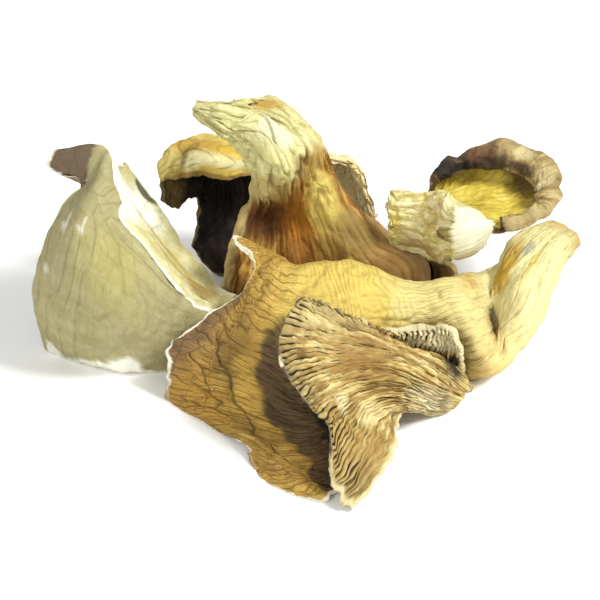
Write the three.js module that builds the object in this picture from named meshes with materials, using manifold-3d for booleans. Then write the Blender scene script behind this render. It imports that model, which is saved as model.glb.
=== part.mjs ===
// A cluster of dried oyster mushrooms: seven curled fruit bodies lying together on a surface.
// Units are millimetres, +Z is up, and the side that faces the viewer is -Y.
// Each fruit body is one sheet of flesh. It starts as a thick stem, spreads into a thin cap,
// and carries gills as raised ridges on one side, which run from the stem to the margin.
import * as THREE from "three";
import { mergeVertices } from "three/addons/utils/BufferGeometryUtils.js";
import Module from "manifold-3d";

const wasm = await Module();
wasm.setup();

// Driving dimensions
const MARGIN = 0.6; // thickness of the flesh at the cap's margin
const GILL_DEPTH = 0.7; // height of the gill ridges over the flesh
const COLUMNS_PER_GILL = 2; // one ridge and one valley
const STEP = 1e-3; // step for the slopes of a surface
const SURFACE_BLOCK = 400; // side of the block that trims what would reach below the surface
const MIDDLE = [2.1, 3.3]; // middle of the cluster's outline, which becomes the origin

const underSurface = block();
const cluster = new THREE.Group();

// Front fruit body. Its stem stands at the right, where it is torn off, and is folded like a
// gutter. The cap arches over to the left, and its ochre skin comes down to the surface in front.
cluster.add(
  fruitBody({
    name: "front_mushroom",
    colour: 0xc39a4e,
    rows: [
      [
        [57.5, 29, 15.5], [58, 29, 17], [57, 29, 18.5], [56, 30, 18.5], [55, 31, 19],
        [53.5, 31.5, 19.5], [52.5, 32, 19.5], [51.5, 32.5, 19],
      ],
      [
        [54, 26, 13.5], [53.5, 24, 16.5], [52.5, 23, 18.5], [51, 23, 19], [49, 23, 20],
        [47.5, 24, 20], [46, 26, 19], [44.5, 29, 16],
      ],
      [
        [51.5, 20, 12], [50, 16, 15.5], [48.5, 14, 17.5], [46.5, 14, 18], [45, 15, 18],
        [43.5, 18, 17], [43, 22, 15], [43, 26, 12],
      ],
      [
        [49.5, 13, 9], [47.5, 9, 12.5], [46, 6, 15], [44, 7, 15], [42, 11, 13],
        [40.5, 15, 12.5], [39, 19, 14], [38.5, 24, 9.5],
      ],
      [
        [45.5, 6, 6], [44, 3, 8], [42, 3, 8.5], [40.5, 5, 8.5], [39, 8, 10],
        [37.5, 11, 12.5], [35, 16, 14.5], [34.5, 22, 9.5],
      ],
      [
        [41, 2, 2], [39, -2, 5], [38, -3, 6.5], [36, -2, 8], [34, 0, 11.5], [32, 4, 15.5],
        [30, 11, 16], [29.5, 20, 7.5],
      ],
      [
        [35, 1.5, -0.5], [33.5, 1.5, 2], [31.5, 4, 3.5], [30, 6.5, 4.5], [27.5, 7, 7.5],
        [24, 3, 15], [21.5, 9, 17], [20.5, 18, 8.5],
      ],
      [
        [27, -2, -0.5], [25.5, -2.5, 1.5], [23, -1.5, 3], [20, -1, 5], [17, -2, 10],
        [14, -4, 19], [12, 5, 23.5], [11.5, 16, 12.5],
      ],
      [
        [19, -11, -0.5], [17, -13, 2], [14.5, -14, 4.5], [11.5, -14, 8], [9, -12, 13],
        [6.5, -8, 20], [5, 5, 24], [4.5, 16, 13],
      ],
      [
        [12, -27, 0], [9.5, -30, 2], [6.5, -30, 4], [3.5, -26, 6], [1, -20, 9.5],
        [-1, -10, 18.5], [-1, 5, 23.5], [-1.5, 16, 13.5],
      ],
      [
        [8, -39, 0.5], [3.5, -38, 1.5], [-2.5, -33, 3.5], [-7.5, -22, 5], [-9, -13, 10.5],
        [-7.5, -6, 19], [-4.5, 7, 24.5], [-6, 17, 19.5],
      ],
      [
        [6, -43, 1], [-1, -38, 1.5], [-10, -25, 3], [-18.5, -14, 2.5], [-18.5, -6, 10],
        [-11, 0, 19], [-7.5, 8, 24], [-10.5, 16, 24],
      ],
      [
        [4, -44.5, 0], [-7.5, -36, -1], [-19, -13, -2.5], [-29, -4, -2.5],
        [-27.5, -2, 10.5], [-12.5, 3, 20], [-10, 7, 24.5], [-14, 13, 27.5],
      ],
    ],
    flesh: [2, 4, 4.5, 4, 3.6, 3.2, 3, 2.4, 2.2, 2, 1.8, 1.4, 0.8],
    stem: 0.33,
    gills: { count: 16, start: 0.4, end: 1 },
    lines: 24,
    ragged: 0.03,
    phase: 0.4,
  }),
);

// Front fruit body with its gills toward the viewer. It lies on the one behind it, fans out from
// the torn stem at the right, and its upper corner at the right curls over into a small hollow.
cluster.add(
  fruitBody({
    name: "gill_side_mushroom",
    colour: 0xd9c48f,
    rows: [
      [
        [34, -8, 5], [33.5, -8, 4.5], [33, -8, 4.5], [33, -8, 4], [32, -9, 4],
        [31.5, -9, 3], [31, -10, 3], [30, -11, 2], [28.5, -12, 1.5], [27, -12, 0],
      ],
      [
        [33, -4, 3], [31.5, -3, 3.5], [28.5, -5, 6.5], [26.5, -10, 10], [25.5, -13, 10.5],
        [24.5, -16, 11], [24, -18, 10.5], [23.5, -18, 8.5], [23.5, -17, 6], [23.5, -14, 2],
      ],
      [
        [33, -3, 4.5], [30.5, -2, 6], [24, -4, 9], [21, -11, 13], [18.5, -15, 16],
        [16.5, -20, 17.5], [16.5, -24, 17], [16.5, -26, 15], [17.5, -26, 12], [20, -21, 6],
      ],
      [
        [32.5, -8, 11], [28.5, -6, 11.5], [20.5, -6, 12.5], [16, -12, 17], [10, -15, 21],
        [7.5, -22, 20.5], [9, -28, 19], [10, -31, 16], [12, -34, 12.5], [19, -31, 6.5],
      ],
      [
        [32.5, -10, 13], [29, -8, 15.5], [21, -7, 15.5], [12, -11, 19.5], [3.5, -12, 23.5],
        [0.5, -22, 21], [3.5, -30, 18], [6.5, -35, 15], [10, -39, 9], [17.5, -40, 6],
      ],
      [
        [32.5, -11, 15], [29, -9, 19.5], [20.5, -8, 17.5], [10, -10, 21], [-0.5, -10, 25.5],
        [-4.5, -21, 20.5], [0, -30, 15], [5, -37, 13], [5.5, -45, 4.5], [9, -48.5, 0],
      ],
    ],
    flesh: [3.6, 2.8, 2.2, 1.8, 1.4, 1],
    stem: 0.33,
    gills: { count: 28, start: 0, end: 1 },
    lines: 14,
    ragged: 0.03,
    phase: 1.4,
  }),
);

// Standing fruit body. The stem is on top and bends to the left into a torn tip. The cap spreads
// down to the surface with its gills toward the viewer, and its margin is rolled at the right.
cluster.add(
  fruitBody({
    name: "standing_mushroom",
    colour: 0xb98a45,
    rows: [
      [
        [-21.5, 25, 48.5], [-21.5, 24, 49.5], [-21.5, 24, 50], [-21.5, 24, 50.5],
        [-21, 24, 50.5], [-21, 24, 51], [-21, 25, 50.5], [-21, 26, 50.5], [-21, 27, 50],
      ],
      [
        [-16, 25, 43.5], [-16, 23, 46], [-16, 22, 48], [-15.5, 22, 49], [-14.5, 22, 50.5],
        [-13.5, 23, 50.5], [-12.5, 24, 50], [-11.5, 25, 50], [-11, 27, 48.5],
      ],
      [
        [-11, 26, 39.5], [-11, 23, 43], [-10, 21, 46], [-9, 21, 48], [-8, 22, 48],
        [-7, 24, 48.5], [-6, 26, 48.5], [-5, 28, 47.5], [-3, 31, 45.5],
      ],
      [
        [-9, 26, 35], [-7.5, 20, 40], [-5.5, 17, 43], [-3.5, 17, 44], [-1.5, 18, 45],
        [0, 21, 44], [1, 26, 42], [2, 29, 39], [2, 32, 35.5],
      ],
      [
        [-10, 23, 32], [-7.5, 20, 34.5], [-5, 19, 35.5], [-2, 19, 36.5], [0.5, 21, 36],
        [3, 25, 35.5], [4.5, 29, 34], [5, 33, 30.5], [6, 36, 27],
      ],
      [
        [-12, 19, 28], [-9.5, 23, 25.5], [-6, 27, 23.5], [-1.5, 28, 23.5], [2.5, 27, 24.5],
        [6, 28, 25], [9, 31, 24.5], [11, 34, 22], [12, 37, 18.5],
      ],
      [
        [-15, 16, 22], [-11.5, 21, 17.5], [-6.5, 27, 14], [-1, 28, 14], [5, 28, 14.5],
        [11, 27, 16], [16.5, 29, 16], [20.5, 34, 12], [24.5, 38, 9],
      ],
      [
        [-16, 15, 15], [-12.5, 18, 11], [-6.5, 23, 7], [0, 26, 4.5], [7.5, 27, 4],
        [15.5, 26, 6], [24, 26, 13], [27.5, 38, 7], [32.5, 28, 11],
      ],
      [
        [-16, 16, -0.5], [-11.5, 17, -1], [-6, 17, -0.5], [1, 18, -0.5], [9.5, 19, -0.5],
        [18, 20, 0], [25.5, 22, 0], [28.5, 37, -1], [33, 27, 0],
      ],
    ],
    flesh: [1, 3, 5, 5, 4, 2.4, 2, 1.6, 1],
    stem: 0.33,
    gills: { count: 16, start: 0.35, end: 1 },
    lines: 20,
    ragged: 0.03,
    phase: 2.4,
  }),
);

// Back fruit body. The cap stands behind the others with its gills toward the viewer. Its margin
// is rolled forward at the left and stands up as a plain flap at the right.
cluster.add(
  fruitBody({
    name: "back_mushroom",
    colour: 0xb3a06a,
    rows: [
      [[4.5, 42, -0.5], [3, 44, -1], [1, 45, -1.5], [-1, 45, -1.5], [-3, 44, -1], [-6.5, 42, -1]],
      [[7.5, 44, 3], [5, 47, 3], [1, 49, 2.5], [-4.5, 49, 2.5], [-12, 47, 2], [-17.5, 44, 0]],
      [[10.5, 44, 9], [7.5, 48, 10.5], [2, 51, 11.5], [-5, 52, 11], [-14, 50, 9.5], [-23, 45, 6]],
      [
        [13, 43, 13.5], [9.5, 47, 17], [4, 51, 18.5], [-4.5, 53, 18.5], [-14.5, 51, 17],
        [-22.5, 44, 12.5],
      ],
      [[14, 43, 14], [11, 46, 23], [5.5, 48, 25], [-4.5, 51, 26.5], [-16, 49, 27], [-22, 42, 19.5]],
      [
        [15, 43, 14.5], [11, 43, 27.5], [6.5, 44, 29], [-7.5, 48, 30], [-20, 43, 33.5],
        [-23.5, 38, 22],
      ],
      [
        [16, 43, 15], [13, 42, 25], [8, 42, 29.5], [-10.5, 43, 30], [-27, 35, 34.5],
        [-26, 35, 21.5],
      ],
      [
        [16, 43, 15.5], [14.5, 42, 22], [9.5, 42, 28.5], [-12.5, 39, 25.5], [-28, 31, 29.5],
        [-28, 33, 23],
      ],
    ],
    flesh: [4, 4, 2.6, 2, 1.8, 1.6, 1.4, 1],
    stem: 0.33,
    gills: { count: 12, start: 0.25, end: 0.65 },
    lines: 16,
    ragged: 0.03,
    phase: 3.4,
  }),
);

// Right fruit body. Its stem leans up from the surface behind the others and opens into a bowl,
// which shows its smooth inside. The margin of the bowl is rolled inward all round.
cluster.add(
  fruitBody({
    name: "bowl_mushroom",
    colour: 0xa88a52,
    rows: [
      [
        [26.5, 44, -1], [27, 44, -1], [28, 43, -1], [28.5, 42, -1], [29, 41, -1],
        [29, 40, -1], [29.5, 39, -1],
      ],
      [
        [26, 47, 4.5], [27, 46, 5], [28, 45, 5.5], [29, 44, 5.5], [30, 43, 5.5],
        [30.5, 42, 6], [31, 41, 6],
      ],
      [
        [27, 46, 16], [28.5, 47, 15.5], [29.5, 46, 15.5], [30.5, 44, 15.5], [31.5, 41, 15],
        [32, 38, 15], [31.5, 35, 14.5],
      ],
      [
        [27.5, 46, 19], [30.5, 49, 19.5], [34.5, 48, 19.5], [38.5, 44, 19], [39, 40, 18],
        [38, 36, 17.5], [35.5, 33, 16.5],
      ],
      [
        [28, 46, 21], [31.5, 51, 22], [39, 51, 22], [45, 46, 20.5], [46.5, 40, 19.5],
        [44.5, 35, 18.5], [39.5, 32, 17.5],
      ],
      [
        [28, 45, 22.5], [32, 50, 24.5], [43, 53, 27.5], [52.5, 49, 26], [54.5, 40, 23],
        [51, 35.5, 20.5], [42, 31.5, 18],
      ],
      [
        [28, 42, 25], [32.5, 46, 26.5], [42.5, 48, 28], [50, 45, 26], [51.5, 38, 24],
        [49.5, 35.5, 22], [42, 31.5, 19.5],
      ],
      [
        [29, 42, 23.5], [34, 45, 24.5], [42.5, 47, 24.5], [47.5, 44, 23.5], [49, 38, 23],
        [48.5, 35, 21], [41.5, 33, 20],
      ],
    ],
    flesh: [4, 4, 3.5, 2.2, 1.8, 1.8, 1.4, 1],
    stem: 0.33,
    gills: { count: 14, start: 0.3, end: 0.65 },
    lines: 16,
    ragged: 0.02,
    phase: 4.4,
  }),
);

// Small fruit body in front of the bowl: the thick stem is cut off at the right, and the short
// cap flares out at the left.
cluster.add(
  fruitBody({
    name: "small_mushroom",
    colour: 0xe8dfa8,
    rows: [
      [[34.5, 20, 30], [35, 17, 29], [35, 16, 26.5], [35, 17, 22.5], [34, 20, 18]],
      [[32.5, 25, 28.5], [32.5, 22, 27.5], [32.5, 21, 24.5], [32, 22, 20.5], [32, 25, 16.5]],
      [[27.5, 29, 28], [27.5, 27, 26.5], [27.5, 26, 23], [27, 26.5, 19.5], [27, 27.5, 16]],
      [[21.5, 30, 28.5], [21, 28, 26], [21, 27, 22.5], [21, 27, 19.5], [21, 28, 16.5]],
      [[19, 31, 27.5], [17.5, 28, 26], [18, 27, 23], [18, 27, 20], [19, 28.5, 16.5]],
    ],
    flesh: [10.5, 10, 7, 3.5, 1],
    stem: 1,
    gills: { count: 8, start: 0.2, end: 1 },
    lines: 10,
    ragged: 0.04,
    phase: 0.9,
  }),
);

// Left fruit body: a folded shell. The smooth outer skin faces the viewer, the fold runs from the
// top down to the right, and behind it the cap dips and rises again. A tip of the margin at the
// top is curled over to the left.
cluster.add(
  fruitBody({
    name: "left_mushroom",
    colour: 0xbfb888,
    rows: [
      [
        [-15, 7, 7], [-15, 7, 8], [-15, 7.5, 9], [-15, 8, 10], [-15, 8, 10.5],
        [-14.5, 8.5, 11], [-14, 9, 12], [-13.5, 9.5, 13.5], [-12.5, 10, 15],
      ],
      [
        [-21, 5.5, 4], [-21, 5, 8], [-21, 5, 12], [-20.5, 6, 13.5], [-20, 7, 14],
        [-20, 8, 14], [-19, 10, 14], [-18, 12, 13], [-16.5, 15, 14],
      ],
      [
        [-28, 5, -0.5], [-28.5, 2, 9], [-28, 1, 16], [-27, 1, 20], [-26.5, 2, 21],
        [-26, 3, 22], [-25, 7, 21], [-22.5, 15, 15.5], [-19.5, 20, 16],
      ],
      [
        [-34, 4.5, -0.5], [-34, -3, 14.5], [-34, -3, 22.5], [-32.5, -1, 27.5], [-32, 1, 28],
        [-31, 3, 29], [-30, 9, 27.5], [-27.5, 19, 20], [-24, 24, 18.5],
      ],
      [
        [-40, 6, -0.5], [-41.5, -2, 16], [-40.5, -2, 26.5], [-38.5, 2, 32], [-38, 4.5, 33],
        [-37, 7, 34], [-35, 12, 34.5], [-32, 22, 25.5], [-28, 27, 24.5],
      ],
      [
        [-46, 9, -1], [-48, 2, 16], [-46, 2, 29], [-43.5, 6, 35.5], [-42, 8.5, 37],
        [-40.5, 11, 38.5], [-38, 17, 39.5], [-35.5, 26, 29.5], [-32, 29, 29.5],
      ],
      [
        [-51.5, 13, -1], [-53.5, 9, 15], [-50.5, 9, 27], [-46, 13, 34], [-43.5, 15.5, 36.5],
        [-42, 17, 38], [-39.5, 22, 42.5], [-38, 28, 34], [-35.5, 31, 33.5],
      ],
      [
        [-52.5, 14, -1], [-53.5, 11, 14], [-51, 11, 27], [-47, 15, 34.5], [-42.5, 17, 38],
        [-50.5, 20, 38], [-50, 22, 41.5], [-38, 28, 36], [-36.5, 32, 33.5],
      ],
    ],
    flesh: [3, 3, 2.4, 2, 1.8, 1.6, 1.4, 1],
    stem: 0.33,
    gills: { count: 12, start: 0.25, end: 1 },
    lines: 16,
    ragged: 0.02,
    phase: 5.4,
  }),
);

// One fruit body. rows are the guide points of its middle surface, from the stem's end to the
// margin, each from one side of the cap to the other. flesh is the thickness at each row, stem
// the part of the length over which the round stem flattens into the cap, lines the number of
// lengthwise steps, and ragged how far the margin is torn in, as a share of the length.
function fruitBody({ name, colour, rows, flesh, stem, gills, lines, ragged, phase }) {
  const columns = gills.count * COLUMNS_PER_GILL;
  const thick = flesh.map((x) => [x]);

  // A point of the middle surface, with the margin drawn in and out so that its edge is torn.
  const middle = (u, v) => {
    const drawn = v * (1 - ragged * v * v * (0.5 + 0.5 * waves(u, phase)));
    const side = 0.5 + (u - 0.5) * (1 - ragged * (0.5 + 0.5 * waves(1.3 * v, phase + 1)));
    const across = rows.map((row) => along(row, side));
    return new THREE.Vector3(...along(across, drawn));
  };
  const normal = (u, v) => {
    const u0 = Math.max(u - STEP, 0);
    const v0 = Math.max(v - STEP, 0);
    const du = middle(Math.min(u + STEP, 1), v).sub(middle(u0, v));
    const dv = middle(u, Math.min(v + STEP, 1)).sub(middle(u, v0));
    return du.cross(dv).normalize();
  };
  const halfThickness = (u, v) => {
    const roundness = 2 + 10 * Math.min(1, v / stem);
    const swell = Math.sqrt(1 - Math.pow(Math.abs(2 * u - 1), roundness));
    return 0.5 * (MARGIN + Math.max(along(thick, v)[0] - MARGIN, 0) * swell);
  };
  const gillHeight = (u, v) => {
    const rise = THREE.MathUtils.smoothstep(v, gills.start, gills.start + 0.25);
    const fall = THREE.MathUtils.smoothstep(v, gills.end - 0.15, gills.end);
    const kept = gills.end < 1 ? 0 : 0.2;
    const inset = 1 - Math.pow(Math.abs(2 * u - 1), 8);
    return GILL_DEPTH * rise * (1 - (1 - kept) * fall) * inset;
  };

  const skin = [];
  const underside = [];
  for (let j = 0; j <= lines; j++) {
    for (let i = 0; i <= columns; i++) {
      const u = i / columns;
      const v = j / lines;
      const n = normal(u, v);
      const p = middle(u, v);
      const half = halfThickness(u, v);
      const ridge = i % COLUMNS_PER_GILL === 1 ? gillHeight(u, v) : 0;
      skin.push(p.clone().addScaledVector(n, half));
      underside.push(p.addScaledVector(n, -half - ridge));
    }
  }

  // Both faces are split into triangles alike, and four strips close the edges.
  const at = (i, j) => j * (columns + 1) + i;
  const below = skin.length;
  const index = [];
  const strip = (a, b) => {
    index.push(b, a, below + a, b, below + a, below + b);
  };
  for (let j = 0; j < lines; j++) {
    for (let i = 0; i < columns; i++) {
      const [a, b, c, d] = [at(i, j), at(i + 1, j), at(i + 1, j + 1), at(i, j + 1)];
      index.push(a, b, c, a, c, d);
      index.push(below + a, below + c, below + b, below + a, below + d, below + c);
    }
  }
  for (let i = 0; i < columns; i++) {
    strip(at(i, 0), at(i + 1, 0));
    strip(at(i + 1, lines), at(i, lines));
  }
  for (let j = 0; j < lines; j++) {
    strip(at(0, j + 1), at(0, j));
    strip(at(columns, j), at(columns, j + 1));
  }
  const geometry = new THREE.BufferGeometry().setFromPoints([...skin, ...underside]);
  geometry.setIndex(index);
  return placed(name, colour, solid(geometry).subtract(underSurface));
}

// A smooth curve through the points of a row or column: t runs from 0 at the first to 1 at the
// last.
function along(points, t) {
  const last = points.length - 1;
  const place = Math.min(Math.max(t, 0), 1) * last;
  const i = Math.min(Math.floor(place), last - 1);
  const s = place - i;
  const b = points[i];
  const c = points[i + 1];
  const a = i > 0 ? points[i - 1] : b.map((x, k) => 2 * x - c[k]);
  const d = i + 2 <= last ? points[i + 2] : c.map((x, k) => 2 * x - b[k]);
  return b.map((x, k) => {
    const slope = 0.5 * (c[k] - a[k]);
    const bend = a[k] - 2.5 * x + 2 * c[k] - 0.5 * d[k];
    const twist = 0.5 * (d[k] - a[k]) + 1.5 * (x - c[k]);
    return ((twist * s + bend) * s + slope) * s + x;
  });
}

// Slow irregular waves between -1 and 1, the same on every run.
function waves(t, phase) {
  const slow = 0.4 * Math.sin(17 * t + phase);
  const middling = 0.3 * Math.sin(37 * t + 1.9 * phase);
  const fast = 0.3 * Math.sin(61 * t + 2.7 * phase);
  return slow + middling + fast;
}

// The block under the surface that the cluster lies on. What would reach below is cut off flat.
function block() {
  const box = new THREE.BoxGeometry(SURFACE_BLOCK, SURFACE_BLOCK, SURFACE_BLOCK);
  box.translate(0, 0, -SURFACE_BLOCK / 2);
  box.deleteAttribute("normal");
  box.deleteAttribute("uv");
  return solid(box);
}

// A closed body with its vertices joined, ready for cutting.
function solid(geometry) {
  const merged = mergeVertices(geometry, 1e-4);
  return new wasm.Manifold(
    new wasm.Mesh({
      numProp: 3,
      vertProperties: merged.attributes.position.array,
      triVerts: new Uint32Array(merged.index.array),
    }),
  );
}

// The finished body as a named mesh in its place.
function placed(name, colour, body) {
  const made = body.getMesh();
  const geometry = new THREE.BufferGeometry();
  geometry.setAttribute("position", new THREE.BufferAttribute(made.vertProperties, 3));
  geometry.setIndex(new THREE.BufferAttribute(made.triVerts, 1));
  geometry.computeVertexNormals();
  const material = new THREE.MeshStandardMaterial({ color: colour, roughness: 0.8 });
  const mesh = new THREE.Mesh(geometry, material);
  mesh.name = name;
  mesh.position.set(-MIDDLE[0], -MIDDLE[1], 0);
  return mesh;
}

export default cluster;
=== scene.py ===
import math

import bmesh
import bpy
import numpy as np
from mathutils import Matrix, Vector, noise


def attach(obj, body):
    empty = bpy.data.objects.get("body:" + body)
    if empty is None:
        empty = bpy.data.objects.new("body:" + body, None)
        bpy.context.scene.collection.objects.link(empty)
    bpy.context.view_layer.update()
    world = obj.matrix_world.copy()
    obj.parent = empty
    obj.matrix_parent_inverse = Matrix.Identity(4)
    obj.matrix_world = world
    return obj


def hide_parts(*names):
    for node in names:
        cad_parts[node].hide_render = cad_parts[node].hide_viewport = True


# A cluster of dried oyster mushrooms: seven curled fruit bodies that lie together on a surface.
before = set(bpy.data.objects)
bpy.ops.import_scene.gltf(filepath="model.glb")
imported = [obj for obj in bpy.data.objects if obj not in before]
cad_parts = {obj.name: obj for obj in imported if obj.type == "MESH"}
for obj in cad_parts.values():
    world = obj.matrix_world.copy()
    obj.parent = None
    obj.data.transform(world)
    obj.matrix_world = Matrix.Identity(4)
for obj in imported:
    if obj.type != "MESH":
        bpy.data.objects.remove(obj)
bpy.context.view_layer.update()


# Picture's view, the floor and the light
# The cluster is seen from the front and 30 degrees above, at 600 mm through a long lens. It lies on
# white paper, under a soft light from the upper right, in a room with white walls.
AIM = Vector((-0.0021, -0.0033, 0.0196))
VIEW_ELEVATION = math.radians(30)
VIEW_DISTANCE = 0.6
SENSOR_WIDTH = 36
LENS = 180
NEAREST, FARTHEST = 0.05, 20  # what the camera sees, in metres from it
FLOOR_SIDE = 6.0
ROOM_BRIGHTNESS = 0.62


def linear(colour):
    """A colour written as sRGB hex, as the linear values that Blender's sockets take."""
    parts = [int(colour[i : i + 2], 16) / 255 for i in (1, 3, 5)]
    return [p / 12.92 if p <= 0.04045 else ((p + 0.055) / 1.055) ** 2.4 for p in parts] + [1.0]


def add(tree, kind, sockets=(), **settings):
    """Adds a node to a tree, with its settings, and its inputs as values or as links."""
    made = tree.nodes.new(kind)
    for setting, value in settings.items():
        setattr(made, setting, value)
    for key, value in dict(sockets).items():
        if isinstance(value, bpy.types.NodeSocket):
            tree.links.new(value, made.inputs[key])
        else:
            made.inputs[key].default_value = value
    return made


def joined(name, mesh):
    """An object for a mesh, linked to the scene."""
    made = bpy.data.objects.new(name, mesh)
    bpy.context.scene.collection.objects.link(made)
    return made


camera_data = bpy.data.cameras.new("picture_camera")
camera_data.lens = LENS
camera_data.sensor_width = SENSOR_WIDTH
camera_data.clip_start = NEAREST
camera_data.clip_end = FARTHEST
camera = joined("picture_camera", camera_data)
toward_viewer = Vector((0, -math.cos(VIEW_ELEVATION), math.sin(VIEW_ELEVATION)))
camera.location = AIM + VIEW_DISTANCE * toward_viewer
camera.rotation_euler = toward_viewer.to_track_quat("Z", "Y").to_euler()
bpy.context.scene.camera = camera

# White matt paper: no gloss, so that it only takes soft shadows.
paper = bpy.data.materials.new("white_matt_paper")
paper.use_nodes = True
paper_shader = paper.node_tree.nodes["Principled BSDF"]
paper_shader.inputs["Base Color"].default_value = linear("#FBFBFA")
paper_shader.inputs["Roughness"].default_value = 1.0
paper_shader.inputs["Specular IOR Level"].default_value = 0.0
half_floor = FLOOR_SIDE / 2
floor_mesh = bpy.data.meshes.new("paper_floor")
floor_corners = [(x * half_floor, y * half_floor, 0) for x, y in ((-1, -1), (1, -1), (1, 1), (-1, 1))]
floor_mesh.from_pydata(floor_corners, [], [(0, 1, 2, 3)])
floor_mesh.materials.append(paper)
floor = joined("paper_floor", floor_mesh)

room = bpy.data.worlds.new("white_room")
room.use_nodes = True
room_light = room.node_tree.nodes["Background"]
room_light.inputs["Color"].default_value = linear("#FFFFFF")
room_light.inputs["Strength"].default_value = ROOM_BRIGHTNESS
bpy.context.scene.world = room
bpy.context.scene.view_settings.view_transform = "Standard"

# Two soft boxes, each given by its name, place, size in metres and power in watts.
for name, place, side, power in (
    ("key_soft_box", (0.55, -0.25, 0.62), 0.22, 8.0),
    ("front_soft_box", (-0.35, -0.7, 0.45), 0.5, 3.0),
):
    light_data = bpy.data.lights.new(name, "AREA")
    light_data.size = side
    light_data.energy = power
    light = joined(name, light_data)
    light.location = place
    light.rotation_euler = (Vector(place) - AIM).to_track_quat("Z", "Y").to_euler()


# Front fruit body
# A whole dried mushroom whose cap arches over to the left. It is leathery flesh with an ochre skin,
# which drying has drawn into fine creases along the cap, and the margin is torn and pale.
MILLIMETRE = 0.001
MIDDLE = np.array([2.1, 3.3, 0.0])  # middle of the cluster's outline, which is the frame's origin
MARGIN = 0.6  # thickness of the flesh at the cap's margin
SLOPE_STEP = 1e-3  # step for the slopes of a surface
STEM_ROUNDNESS = 2.8  # power in the outline of a slice through the stem, where 2 gives an ellipse
FLATTENING = 9.2  # what that power gains toward the cap, whose slices are flat with rounded ends
FOLDS_START = 0.15  # share of the way from the stem's end over which the soft folds set in
JITTER = 0.45  # mm that a drawn line wanders to each side
JITTER_SIZE = 2.2  # mm between its turns
CRACK_WIDTH = 0.45  # mm from the middle of a crack to its side, for one of full width
CRACK_DEPTH = 0.35  # mm that a crack cuts into the skin
FAR = 9.0  # stands for all places too far from a crack or a patch to matter
END_STEPS = 12  # rows of faces over the stem's end
END_BULGE = 0.22  # how far the stem's end bulges, as a share of its thickness
END_ROUGHNESS = 0.02  # height of the bumps on it, as a share of the same
NOISE_SHIFT = Vector((17.3, -9.1, 5.7))  # how far each seed's noise lies from the last one's


def weights(count, t):
    """Where t falls on a smooth curve through points: the first point of its span, and its weights."""
    last = count - 1
    place = np.clip(t, 0, 1) * last
    i = np.minimum(np.floor(place).astype(int), last - 1)
    s = place - i
    return i, (
        -0.5 * s + s**2 - 0.5 * s**3,
        1 - 2.5 * s**2 + 1.5 * s**3,
        0.5 * s + 2 * s**2 - 1.5 * s**3,
        -0.5 * s**2 + 0.5 * s**3,
    )


def along_rows(rows, u, v):
    """Points of the smooth surface through the guide points, for places u across and v along."""
    net = np.array(rows, float)
    net = np.concatenate([2 * net[:1] - net[1:2], net, 2 * net[-1:] - net[-2:-1]], 0)
    net = np.concatenate([2 * net[:, :1] - net[:, 1:2], net, 2 * net[:, -1:] - net[:, -2:-1]], 1)
    i, row_weights = weights(net.shape[0] - 2, v)
    j, column_weights = weights(net.shape[1] - 2, u)
    found = 0
    for a, row_weight in enumerate(row_weights):
        for b, column_weight in enumerate(column_weights):
            found = found + (row_weight * column_weight)[..., None] * net[i + a, j + b]
    return found


def along_line(values, t):
    """The same for a single line of values, such as the thickness from the stem to the margin."""
    line = np.array([2 * values[0] - values[1], *values, 2 * values[-1] - values[-2]])
    i, line_weights = weights(len(values), t)
    return sum(weight * line[i + a] for a, weight in enumerate(line_weights))


def waves(t, phase):
    """Slow irregular waves between -1 and 1, the same as those that tear the solid's margin."""
    slow = 0.4 * np.sin(17 * t + phase)
    middling = 0.3 * np.sin(37 * t + 1.9 * phase)
    fast = 0.3 * np.sin(61 * t + 2.7 * phase)
    return slow + middling + fast


def unevenness(points, size, seed):
    """Smooth noise between about -1 and 1, with bumps of the size given, at an array of points."""
    flat = points.reshape(-1, 3) / size
    found = [noise.noise(Vector(point) + NOISE_SHIFT * seed) for point in flat.tolist()]
    return np.array(found).reshape(points.shape[:-1])


def line_length(points):
    """Length of the path through a row of points, from its first to its last."""
    return np.linalg.norm(np.diff(points, axis=0), axis=-1).sum()


def path_distance(path, across, along, width, length):
    """How far the places on a sheet are from a path over it, in mm."""
    nearest = np.full_like(across, np.inf)
    for (u0, v0), (u1, v1) in zip(path, path[1:]):
        du, dv = (u1 - u0) * width, (v1 - v0) * length
        pu, pv = (across - u0) * width, (along - v0) * length
        share = np.clip((pu * du + pv * dv) / (du**2 + dv**2), 0, 1)
        nearest = np.minimum(nearest, np.hypot(pu - share * du, pv - share * dv))
    return nearest


def inside(outline, across, along):
    """Which places on a sheet are inside an outline over it."""
    odd = np.zeros(across.shape, bool)
    for (u0, v0), (u1, v1) in zip(outline, outline[1:] + outline[:1]):
        if v0 != v1:
            between = (v0 > along) != (v1 > along)
            odd ^= between & (across < u0 + (along - v0) * (u1 - u0) / (v1 - v0))
    return odd


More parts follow.
